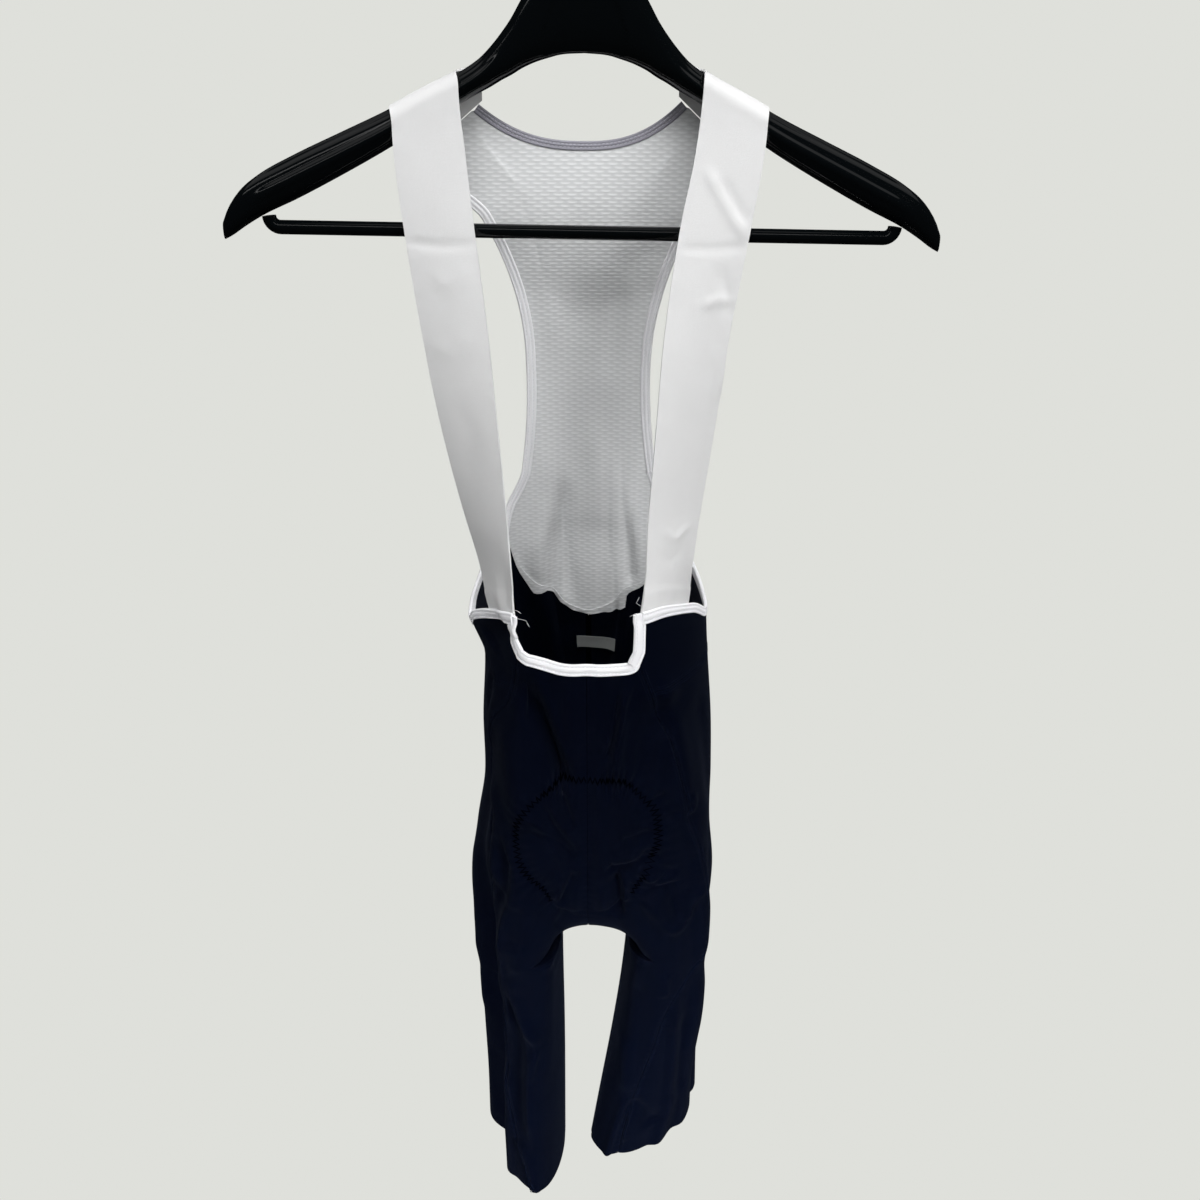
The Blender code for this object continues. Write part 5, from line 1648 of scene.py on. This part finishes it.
# %% The strips round the armholes
def side_edge(half):
    """The armhole's edge: over the yoke from the strap's inner corner, then up the mesh back."""
    parts = np.linspace(0, 1, count_for(165))
    station, level = yoke_grid(half, columns=parts, rows=[0.9, 1.0])
    path = shorts(half, station[-1], level[-1])
    normals = outward(half, station[-1], level[-1])
    start = unit(path[0] - path[2]) * STRAP_OVERHANG[half]
    lead = np.linspace(1, 0, 4)[:-1, None]
    edge = mesh_grid.shape[1] - 1 if half == "r" else 0
    up_mesh, mesh_out = mesh_grid[2:, edge], mesh_normals[2:, edge]
    path = np.concatenate([path[:1] + start * lead, path, up_mesh])
    normals = np.concatenate([np.repeat(normals[:1], 3, axis=0), normals, mesh_out])
    across = beside(path, normals, np.array([0, 0, 1.0]))
    taper = smooth((path[:, 2] - BACK_PEAK) / BINDING_TAPER)
    under_strap = smooth(1 - cumulative(path) / SIDE_TAPER)
    width = SIDE_BINDING + (MESH_BINDING - SIDE_BINDING) * taper
    width = width + (WAIST_BINDING - width) * under_strap
    foot = int(np.argmin(np.abs(parts - STRAP_FOOT[half]))) + 3
    return path, evened(normals, 3), across, width[:, None], foot


SIDE_EDGES = {half: side_edge(half) for half in HALVES}
for half, (path, normals, across, width, foot) in SIDE_EDGES.items():
    made = bound_edge(
        "armhole_tape_" + half, path, normals, across, width,
        white_binding, "binding_side_" + half,
    )
    white_runs += tape_stitches(path, normals, across, width)
print("armhole tapes sewn")

# %% The strip round the neck
inside = np.abs(MESH_ACROSS) < NECK_PART
neck_path, neck_normals = mesh_grid[-1, inside], evened(mesh_normals[-1, inside], 3)
neck_across = beside(neck_path, neck_normals, np.array([0, 0, 1.0]))
made = bound_edge(
    "neck_tape", neck_path, neck_normals, neck_across, NECK_BINDING,
    lilac_binding, "binding_neck",
)
neck_runs = tape_stitches(neck_path, neck_normals, neck_across, NECK_BINDING)

# %% [markdown]
# ## Straps
# A strap is one flat length of white elastic. It is sewn behind the armhole tape with its end turned
# up, climbs to the hanger, goes over the arm and ends behind it, where the mesh is sewn on. It bears
# the garment's weight, so it is nearly smooth, with faint bends where it was folded. A ribbon along one
# curve would leave the arm at one edge, so every column of its grid has a curve of its own.

# %% Relief of the straps
# (distance from the inner edge, height) of each bend, half width, lift
STRAP_CREASES = {
    "l": [
        ([(-2, -250), (22, -252), (50, -249)], 3.0, -0.9),
        ([(4, -262), (20, -275), (34, -270)], 5.0, 0.5),
        ([(10, -300), (26, -318), (44, -312)], 6.0, 0.5),
        ([(30, -345), (20, -372), (34, -398)], 6.0, -0.5),
        ([(6, -420), (20, -438), (30, -430)], 5.0, 0.4),
    ],
    "r": [
        ([(6, -205), (24, -226), (44, -250)], 3.2, 1.5),
        ([(16, -212), (34, -232), (44, -240)], 4.0, -1.1),
        ([(-2, -252), (20, -254), (46, -252)], 3.0, -0.7),
        ([(28, -262), (38, -282), (42, -300)], 3.4, -1.1),
        ([(20, -288), (32, -284), (44, -286)], 3.2, 1.0),
        ([(34, -310), (42, -330), (40, -352)], 3.6, 1.0),
        ([(6, -300), (16, -330), (12, -360)], 7.0, 0.5),
        ([(12, -430), (24, -438), (36, -430)], 3.0, 0.9),
        ([(8, -446), (22, -452), (34, -446)], 4.0, -0.6),
    ],
}
STRAP_HEM = 12.5
STRAP_TUCK = 5.0
# How far the tucked end lies behind the armhole's edge, at its lower end and where it comes out
STRAP_BEHIND = (2.3, 1.9)
# The strap is in front of this depth until it reaches the hanger's arm
STRAP_FRONT = -12
STRAP_HEM_LIFT = 0.25


def strap_grid(half):
    """Points of the strap, from its tucked end behind the armhole tape to its end behind the arm."""
    path, normals, across, width, foot = SIDE_EDGES[half]
    low, high = path[: foot + 1] + across[: foot + 1] * width[: foot + 1], normals[: foot + 1]
    run = cumulative(low)
    part = spread(46)
    edge, out, up = (at_places(part * run[-1], run, values) for values in (low, high, across[: foot + 1]))
    out, up = unit(out), unit(up)
    controls = [edge - up * STRAP_TUCK - out * STRAP_BEHIND[0], edge - up * 1.5 - out * STRAP_BEHIND[1]]
    for height in np.linspace(STRAPS[half][-1, 0], STRAPS[half][0, 0], 8):
        inner_x, inner_y, outer_x, outer_y = (
            through(STRAPS[half], column, height) for column in range(1, 5)
        )
        controls.append(np.stack([
            HALVES[half] * (inner_x + (outer_x - inner_x) * part),
            inner_y + (outer_y - inner_y) * part,
            np.full_like(part, height),
        ], axis=-1))
    for turn in np.linspace(0, math.pi, 33):
        controls.append(on_hanger(strap_on_arm(half, part, turn)))
    controls.append(strap_rear(half, part))
    controls = np.stack(controls)
    rows = count_for(cumulative(controls[:, 0])[-1])
    grid = np.empty((rows, len(part), 3))
    for column in range(len(part)):
        run = cumulative(controls[:, column])
        table = np.column_stack([run, controls[:, column]])
        at = np.linspace(0, run[-1], rows)
        for axis in range(3):
            grid[:, column, axis] = through(table, axis + 1, at)
    return grid, edge, part


for half in HALVES:
    grid, edge, part = strap_grid(half)
    normals = grid_normals(grid) * HALVES[half]
    run = run_down(grid)
    wide = cumulative(grid)
    front = grid[..., 1] < STRAP_FRONT
    lift = line_lift(STRAP_CREASES[half], wide, grid[..., 2]) * front
    hem = 1 - smooth((run - STRAP_TUCK - STRAP_HEM) / 1.6)
    lift = lift + hem * STRAP_HEM_LIFT
    grid = grid + normals * lift[..., None]
    normals = grid_normals(grid) * HALVES[half]
    uv = np.stack([wide, run], axis=-1)
    made = wall(
        "strap_elastic_" + half, grid, normals, ELASTIC - 0.2 + hem * 0.5, elastic,
        "strap_" + half, uv,
    )
    level = int(np.argmin(np.abs(run[:, 5] - STRAP_TUCK - STRAP_HEM + 1.5)))
    white_runs.append(stitch_run("strap end", grid[level], normals[level]))
print("straps hung")

threads("white_stitching", white_runs, white_thread)

TAIL_RADIUS = 0.13
# Loose ends left where the strip round the scoop was closed: end of the strip, then bends from there
TAILS = [
    (0, [(1, -2, 1), (6, -3.5, -2), (11, -3, -3.5), (13, -1.5, -9)]),
    (0, [(2, -2, 4), (5, -4, 4.5), (8, -3.5, 2)]),
    (-1, [(-1, -2, 0), (-5, -3.5, 1.5), (-9, -3, -1)]),
    (-1, [(-2, -1.5, 6), (-5, -3, 9), (-3, -2.5, 13)]),
]
tails = [scoop_path[end] + np.array(bends) for end, bends in TAILS]
wire("thread_tails", tails, TAIL_RADIUS, 6, white_thread)
threads("neck_stitching", neck_runs, lilac_thread)

# %% [markdown]
# ## Flatlock seams and the pad's outline
# Two rows of navy stitches run on each side of every panel seam, and a zigzag shows on the outside
# where the seat pad is sewn in. The seam thread is hardly lighter than the cloth, so it is seen by its
# relief. The zigzag's thread is painted near-black, darker than the real thread, as painted shade of the
# stitches sunk into the cloth, and shows as a fine line between the gathers. The centre back's stitches
# and the bands under the seams take the same near-black thread as painted shade.

# %% Lines along the seams
# Distances of the rows from the seam, and how much their stitches lean
FLATLOCK_ROWS = (-2.7, -0.95, 0.95, 2.7)
FLATLOCK_SLANT = 0.2
# Stations of the rows beside the centre front, the centre back and the inseam
CENTRE_FRONT_ROW, CENTRE_BACK_ROW, INSEAM_ROWS = 0.0045, 1 - 0.0026, (0.007, 0.993)
CENTRE_BACK_TOP = BACK_TOP[-1, 1]


def on_cloth(half, station, level):
    """Points of the cloth and its normals there."""
    return shorts(half, station, level), outward(half, station, level)


def up_seam(half, seam, low, high):
    """A line up a seam, which is a function of the height or one fixed station."""
    level = np.arange(low, high, STEP)
    return on_cloth(half, seam(half, level) if callable(seam) else seam, level)


def round_yoke(half, start=0.0, end=0.0):
    """A line along the yoke's lower seam, from the front seam to the back seam."""
    inner, outer = (float(seam(half, np.array(YOKE_SEAM))) for seam in (front_seam, back_seam))
    return on_cloth(half, np.arange(inner + start, outer - end, STEP / STATION_LENGTH), YOKE_SEAM)


# %% Rows of navy stitches
navy_runs, shade_thread_runs = [], []
for half in HALVES:
    hem, fork = HEM[half] + 1, CROTCH + 6
    for seam, top in ((front_seam, SCOOP + 4), (back_seam, BACK_PEAK - 4)):
        path, out = up_seam(half, seam, hem, top)
        out = evened(out, 2)
        for offset in FLATLOCK_ROWS:
            navy_runs.append(stitch_run("flatlock", path, out, offset, FLATLOCK_SLANT * np.sign(offset)))
    navy_runs.append(stitch_run("centre front", *up_seam(half, CENTRE_FRONT_ROW, fork, SCOOP - 1)))
    # The centre back stitches take the near-black thread, as painted shade of the sunk seam.
    shade_thread_runs.append(stitch_run("centre back", *up_seam(half, CENTRE_BACK_ROW, fork, CENTRE_BACK_TOP - 2)))
    for station in INSEAM_ROWS:
        navy_runs.append(stitch_run("inseam", *up_seam(half, station, hem, CROTCH - 8)))
    path, out = round_yoke(half, 0.01, 0.008)
    for offset in FLATLOCK_ROWS:
        navy_runs.append(stitch_run("flatlock", path, out, offset))

# %% The bands on the inside of the seams
# Width and thickness of a band, and how deep its middle lies under the cloth's middle
BAND_WIDTH, BAND_THICKNESS, BAND_DEPTH = 4.6, 0.5, 0.95
BAND_CORNERS = ((-1, 0.5), (1, 0.5), (1, -0.5), (-1, -0.5))


def band(path, normals):
    """The closed band under a flatlock seam."""
    normals = evened(normals, 2)
    side = unit(np.cross(np.gradient(path, axis=0), normals))
    return np.stack([
        path + side * BAND_WIDTH / 2 * over + normals * (BAND_THICKNESS * lift - BAND_DEPTH)
        for over, lift in BAND_CORNERS
    ], axis=1)


bands = []
for half in HALVES:
    hem = HEM[half] + 0.5
    for seam, top in ((front_seam, SCOOP + 5), (back_seam, BACK_PEAK - 6), (0.0, CROTCH - 2)):
        bands.append(band(*up_seam(half, seam, hem, top)))
    bands.append(band(*round_yoke(half)))
for station, top in ((0.0, SCOOP - 1), (1.0, CENTRE_BACK_TOP - 1)):
    path, out = up_seam("r", station, CROTCH + 3, top)
    path[:, 0] = 0
    bands.append(band(path, out))
# The bands are coloured near-black, so the seam gaps over them show as painted shade.
tubes("seam_bands", bands, painted_shade_thread)

# %% The zigzag round the pad
ZIGZAG_PITCH = 4.3
ZIGZAG_SWING = 5.4
ZIGZAG_LIFT = 0.68
ZIGZAG_RADIUS = 0.4
ZIGZAG_OVERLAP = 1.1
# The stitches keep this far from the centre seam, as a station
ZIGZAG_INNER = 0.002


def zigzag(half):
    """Stitches that swing from side to side of the pad's outline, each end on the cloth itself."""
    high, at = PAD_OUTLINE[half]
    line = np.stack([at * STATION_LENGTH, high], axis=-1)
    run = cumulative(line)
    place = np.arange(0, run[-1], ZIGZAG_PITCH / 2)
    over, level = at_places(place, run, line).T
    slope = unit(np.stack([np.gradient(over), np.gradient(level)], axis=-1))
    swing = ZIGZAG_SWING * np.where(np.arange(len(place)) % 2, 0.5, -0.5)
    station = np.maximum((over - slope[:, 1] * swing) / STATION_LENGTH, ZIGZAG_INNER)
    ends, out = on_cloth(half, station, level + slope[:, 0] * swing)
    ends = ends + out * ZIGZAG_LIFT
    along = np.diff(ends, axis=0)
    length = np.linalg.norm(along, axis=1, keepdims=True) * ZIGZAG_OVERLAP
    return (ends[1:] + ends[:-1]) / 2, along, unit(out[1:] + out[:-1]), length, ZIGZAG_RADIUS


# The zigzag's near-black thread is painted shade of the stitches sunk into the cloth.
pad_runs = shade_thread_runs + [zigzag(half) for half in HALVES]
threads("pad_stitching", pad_runs, painted_shade_thread)
threads("navy_stitching", navy_runs, navy_thread)
for colour, runs in (("navy", navy_runs), ("white", white_runs), ("dark", pad_runs)):
    print(sum(len(run[0]) for run in runs), colour, "stitches")

# %% [markdown]
# ## Seat pad and label
# The pad is moulded foam in a soft cover: thick in the middle, thin at its sewn rim, with channels that
# let it bend. It follows the inside of the shorts from the front, under the fork and up the back. A
# simulated cushion would push through the cloth, so the pad grows inwards from the shorts' own surface.
# The label is a plain strip of satin inside the back, whose lower part curls away from the cloth.

# %% Sizes of the pad
PAD = 7.0
PAD_COVER_GAP = 1.6
PAD_CLEARANCE = 1.4
PAD_THINNEST = 1.2
PAD_TIP = 5.0
PAD_FRONT = np.array([
    (-621, 12), (-625, 28), (-633, 39), (-648, 46), (-668, 50), (-688, 48), (-708, 42),
    (-728, 34), (-748, 27), (-763, 23), (CROTCH, 18),
])
PAD_BACK = np.array([
    (-648, 14), (-653, 32), (-668, 44), (-688, 48), (-708, 46), (-728, 40), (-748, 32),
    (-763, 25), (CROTCH, 18),
])
RIDGE_ROWS = 4


def centre_part(level, out, behind, fine=False):
    """Points and normals of the shorts at this height and distance out, either side of the centre."""
    def on_half(half, across):
        station = station_at(half, level, np.abs(across), behind)
        normals = facing(lambda *place: shorts(*place, fine), half, station, level)
        return shorts(half, station, level, fine), normals

    return by_half(on_half, out)


def fork_line(out):
    """Points and normals along the ridge between the legs, where both inseams meet."""
    def on_half(half, across):
        ridge = INSEAM[half][:RIDGE_ROWS, [1, 0]]
        level = through(ridge, 1, np.abs(across))
        return on_cloth(half, 0.0, level)

    return by_half(on_half, out)


# %% Build the pad
pad_part = np.linspace(-1, 1, 41)


def pad_lining(fine):
    """The cloth's surface over the pad, with or without its creases, and its normals."""
    rows, faces = [], []
    for outline, behind in ((PAD_FRONT, False), (PAD_BACK, True)):
        tip = outline[0, 0]
        levels = shared_levels("l")[:: 2 if STEP < 3 else 1]
        levels = levels[(levels > CROTCH) & (levels < tip - PAD_TIP)]
        levels = np.concatenate([[tip, tip - PAD_TIP / 2, tip - PAD_TIP], levels[::-1]])
        pairs = [
            centre_part(np.full_like(pad_part, level), pad_part * half_width, behind, fine)
            for level, half_width in zip(levels, through(outline, 1, levels))
        ]
        if behind:
            pairs = pairs[::-1]
        else:
            pairs.append(fork_line(pad_part * outline[-1, 1]))
        rows += [points for points, _ in pairs]
        faces += [normals for _, normals in pairs]
    return np.stack(rows), np.stack(faces)


# Shares of the pad's thickness, width and length
PAD_RIM, RIM_WIDTH = 0.32, 0.35
LONG_CHANNELS, LONG_DEPTH, LONG_WIDTH = (-0.42, 0.42), 0.30, 0.05
CROSS_CHANNELS, CROSS_DEPTH, CROSS_WIDTH = (0.22, 0.42, 0.60, 0.80), 0.25, 0.012
CHANNEL_FADE = 0.3

rows, faces = pad_lining(True)
smooth_rows, smooth_faces = pad_lining(False)
length = np.linspace(0, 1, len(rows))[:, None]
edge = np.minimum(1 - np.abs(pad_part)[None, :], np.minimum(length, 1 - length) * 4)
crown = PAD_RIM + (1 - PAD_RIM) * smooth(edge / RIM_WIDTH)
fade = smooth(edge / CHANNEL_FADE)
for channel in LONG_CHANNELS:
    crown = crown - LONG_DEPTH * bell(pad_part - channel, LONG_WIDTH)[None, :] * fade
for channel in CROSS_CHANNELS:
    crown = crown - CROSS_DEPTH * bell(length - channel, CROSS_WIDTH) * fade
outer = rows - faces * (KNIT / 2 + PAD_COVER_GAP)
inner = smooth_rows - smooth_faces * (KNIT / 2 + PAD_CLEARANCE + PAD * crown[..., None])
thin = np.einsum("ijk,ijk->ij", outer - inner, smooth_faces)[..., None]
inner = inner - smooth_faces * np.maximum(PAD_THINNEST - thin, 0)
middle, reach = (outer + inner) / 2, (outer - inner) / 2
span = np.linalg.norm(reach, axis=-1)
pad = wall("seat_pad_foam", middle, unit(reach), span * 2, pad_cover, "seat_pad")
print("seat pad", middle.shape, "points")

# %% Build the label
LABEL_SIZE = (32.0, 10.0)
LABEL_LEFT, LABEL_TOP, LABEL_SLANT = -10.0, -572.0, 0.08
LABEL_GAP, LABEL_CURL, LABEL_SEWN = 0.9, 0.9, 4
out, drop = np.meshgrid(np.linspace(0, LABEL_SIZE[0], 17), np.linspace(0, LABEL_SIZE[1], 9))
points, normals = centre_part(LABEL_TOP - drop - LABEL_SLANT * out, out + LABEL_LEFT, True)
curl = LABEL_CURL * smooth((drop - LABEL_SEWN) / (LABEL_SIZE[1] - LABEL_SEWN))
points = points - normals * (KNIT / 2 + LABEL_GAP + curl)[..., None]
label = wall("size_label_satin", points, normals, 0.5, label_cloth, "size_label")

# %% [markdown]
# ## Hanger
# A wide moulded coat hanger: its arms are thick and rounded, with a ridge along the upper shoulder and a
# raised centre with a recessed plate. A subdivided box would do, but a swept skin keeps every measure
# in one table. The mouldings are small changes of its offset.

# %% Mould the arms
HANGER_AROUND = 108
LIP_TURN = 0.02
ARCH_TOP = -131.0
PLATE_HALF, PLATE_LOW, PLATE_CORNER, PLATE_DEPTH = 25.0, -118.0, 8.0, 0.8
# Distances out of the sections: close together over the plate, and again at the arm's round end
hanger_out = np.concatenate([
    np.arange(0, 70, STEP * 0.6), np.linspace(70, 214, count_for(144)), [217, 220, 222.5, 224.5, 225.5],
])
hanger_out = np.concatenate([-hanger_out[:0:-1], hanger_out])[:, None]
hanger_turn = np.linspace(0, 2 * math.pi, HANGER_AROUND + 1)[None, :-1]


def moulding(out, turn):
    """Small changes of the hanger's skin: a lip along each arm, a sunk face under it and a plate."""
    away = np.abs(out)
    fold = np.abs((turn + math.pi / 2) % (2 * math.pi) - math.pi) - math.pi / 2
    arm = smooth((away - 42) / 30) * smooth((212 - away) / 22)
    lip = 0.9 * bell(fold - LIP_TURN, 0.16)
    lip = lip - 1.5 * smooth((LIP_TURN - fold) / 0.30) * smooth((fold + 1.3) / 0.35)
    top, under = through(HANGER_ROWS, 1, away), through(HANGER_ROWS, 2, away)
    face_z = (top + under) / 2 + (top - under) / 2 * np.sin(fold)
    on_face = np.abs(np.cos(fold)) ** 0.25
    arch = ARCH_TOP - 0.011 * away**2
    rim = smooth((arch - face_z) / 3.0) * smooth((52 - away) / 14)
    corner = np.maximum(away - (PLATE_HALF - PLATE_CORNER), 0)
    low = PLATE_LOW + PLATE_CORNER - np.sqrt(np.maximum(PLATE_CORNER**2 - corner**2, 0))
    plate = smooth((PLATE_HALF - away) / 0.9 + 0.5) * smooth((face_z - low) / 0.9 + 0.5)
    on_face = on_face * smooth((fold + 1.2) / 0.4) * smooth((1.25 - fold) / 0.3)
    return lip * arm + (rim - plate) * PLATE_DEPTH * on_face


hanger_rings = on_hanger(arm_section(hanger_out, hanger_turn, moulding(hanger_out, hanger_turn)))
tubes("hanger_arms_moulded", [hanger_rings], black_plastic, "hanger_arms")

# %% Bar and hook
BAR_HEIGHT, BAR_RADIUS, BAR_HALF_LENGTH = -246.0, 4.4, 198.3
BAR_DEPTH, BAR_BEND = -9.5, 6.8
swing = np.linspace(0, math.pi / 2, 9)
left = np.stack([
    BAR_BEND * (1 - np.cos(swing)) - BAR_HALF_LENGTH,
    np.full_like(swing, BAR_DEPTH),
    BAR_HEIGHT + BAR_BEND * (1 - np.sin(swing)),
], axis=-1)
middle = np.linspace(left[-1], left[-1] * (-1, 1, 1), 60)[1:-1]
bar_path = on_hanger(np.concatenate([left, middle, left[::-1] * np.array([-1, 1, 1])]))
wire("hanger_bar_moulded", [bar_path], BAR_RADIUS, 32, black_plastic, "hanger_bar")

HOOK_WIRE, HOOK_BEND, HOOK_ARC, NECK_TOP = 2.0, 21.0, (-48, 205), -84.0
HOOK_STEM = np.array([(0, 0, 0), (0, 0, 8), (0, 0, 16), (0, 0, 24), (1.2, 0, 30), (4.5, 0, 36)])
stem = on_hanger([(0, 0, NECK_TOP + SEAM_GAP)]) + HOOK_STEM
bend = np.radians(np.linspace(*HOOK_ARC, 60))
radius = HOOK_BEND + HOOK_WIRE
circle = np.stack([radius * np.cos(bend), 0 * bend, radius * np.sin(bend) - HOOK_BEND], axis=-1)
hook_path = np.concatenate([stem, circle])
wire("hanger_hook_wire", [hook_path], HOOK_WIRE, 20, steel_wire, "hanger_hook")
print("hanger moulded")

# %% [markdown]
# ## Room and light
# A plain pale room: the floor and the air behind have the same colour, so no horizon shows. Large soft
# lights stand above, in front, to the sides and behind, and the room gives the shadows a little light.
# A picture of a sky could light it all at once, but each lamp here can be moved for one effect.

# %% Floor and world
ROOM = (0.737, 0.745, 0.708)
FELT = (0.75, 0.76, 0.78)
FELT_STRENGTH = 0.15
GLOSS_STRENGTH = 0.015
FLOOR_GLOW = 0.09
FLOOR_LEVEL, FLOOR_HALF = -1.6, 6
scene = bpy.context.scene
scene.view_settings.view_transform = "Standard"
world = bpy.data.worlds.new("pale room")
scene.world = world
world.use_nodes = True
tree = world.node_tree
tree.nodes.clear()
path = tree.nodes.new("ShaderNodeLightPath")
shown = None
for share, colour, strength in (
    (None, FELT, FELT_STRENGTH), ("Is Glossy Ray", FELT, GLOSS_STRENGTH), ("Is Camera Ray", ROOM, 1.0),
):
    sky = tree.nodes.new("ShaderNodeBackground")
    sky.inputs["Color"].default_value = (*colour, 1)
    sky.inputs["Strength"].default_value = strength
    if share is None:
        shown = sky.outputs[0]
        continue
    mix = tree.nodes.new("ShaderNodeMixShader")
    tree.links.new(path.outputs[share], mix.inputs[0])
    tree.links.new(shown, mix.inputs[1])
    tree.links.new(sky.outputs[0], mix.inputs[2])
    shown = mix.outputs[0]
end = tree.nodes.new("ShaderNodeOutputWorld")
tree.links.new(shown, end.inputs[0])

floor_paint = bpy.data.materials.new("pale floor")
floor_paint.use_nodes = True
tree = floor_paint.node_tree
tree.nodes.clear()
glow = tree.nodes.new("ShaderNodeEmission")
glow.inputs["Color"].default_value = (*ROOM, 1)
path = tree.nodes.new("ShaderNodeLightPath")
strength = tree.nodes.new("ShaderNodeMapRange")
strength.inputs["To Min"].default_value = FLOOR_GLOW
tree.links.new(path.outputs["Is Camera Ray"], strength.inputs["Value"])
tree.links.new(strength.outputs[0], glow.inputs["Strength"])
end = tree.nodes.new("ShaderNodeOutputMaterial")
tree.links.new(glow.outputs[0], end.inputs[0])
mesh = bpy.data.meshes.new("floor")
corners = [(x * FLOOR_HALF, y * FLOOR_HALF, FLOOR_LEVEL) for x, y in ((-1, -1), (1, -1), (1, 1), (-1, 1))]
mesh.from_pydata(corners, [], [(0, 1, 2, 3)])
mesh.materials.append(floor_paint)
floor = bpy.data.objects.new("floor", mesh)
floor.visible_glossy = False
scene.collection.objects.link(floor)

# %% Lights
# Name, place, aim, width, height, power in watts, spread in degrees, seen in glossy surfaces
LIGHTS = [
    ("softbox above", (0.1, -0.8, 1.0), (0.0, 0.0, -0.5), 1.2, 0.8, 25.0, 180, False),
    ("softbox right", (1.2, -1.2, 0.2), (0.0, 0.0, -0.6), 1.0, 1.2, 14.0, 180, False),
    ("softbox left", (-1.3, -0.9, -0.1), (0.0, 0.0, -0.5), 0.8, 1.4, 3.0, 180, False),
    ("softbox behind", (-0.3, 1.5, 0.3), (0.0, 0.0, -0.55), 1.2, 1.0, 14.0, 180, False),
    ("softbox low right", (0.8, -1.2, -1.05), (0.05, 0.0, -0.98), 0.4, 0.4, 2.0, 40, False),
    ("softbox low left", (-0.8, -1.0, -1.05), (-0.05, 0.0, -0.95), 0.4, 0.4, 1.0, 40, False),
    ("panel overhead", (0.0, 0.1, 1.2), (0.0, 0.0, -0.2), 3.0, 1.2, 4.0, 180, True),
    ("strip in front", (-0.3, -1.3, 0.85), (0.0, 0.0, -0.15), 1.8, 0.14, 1.8, 180, True),
]
for name, place, aim, width, height, power, angle, glossy in LIGHTS:
    lamp = bpy.data.lights.new(name, "AREA")
    lamp.shape = "RECTANGLE"
    lamp.size, lamp.size_y, lamp.energy = width, height, power
    lamp.spread = math.radians(angle)
    stand = bpy.data.objects.new(name, lamp)
    stand.location = place
    stand.visible_glossy = glossy
    towards = np.array(aim) - np.array(place)
    stand.rotation_euler = (
        math.acos(-towards[2] / np.linalg.norm(towards)), 0, math.atan2(-towards[0], towards[1]),
    )
    scene.collection.objects.link(stand)
print("lit by", len(LIGHTS), "soft lights")
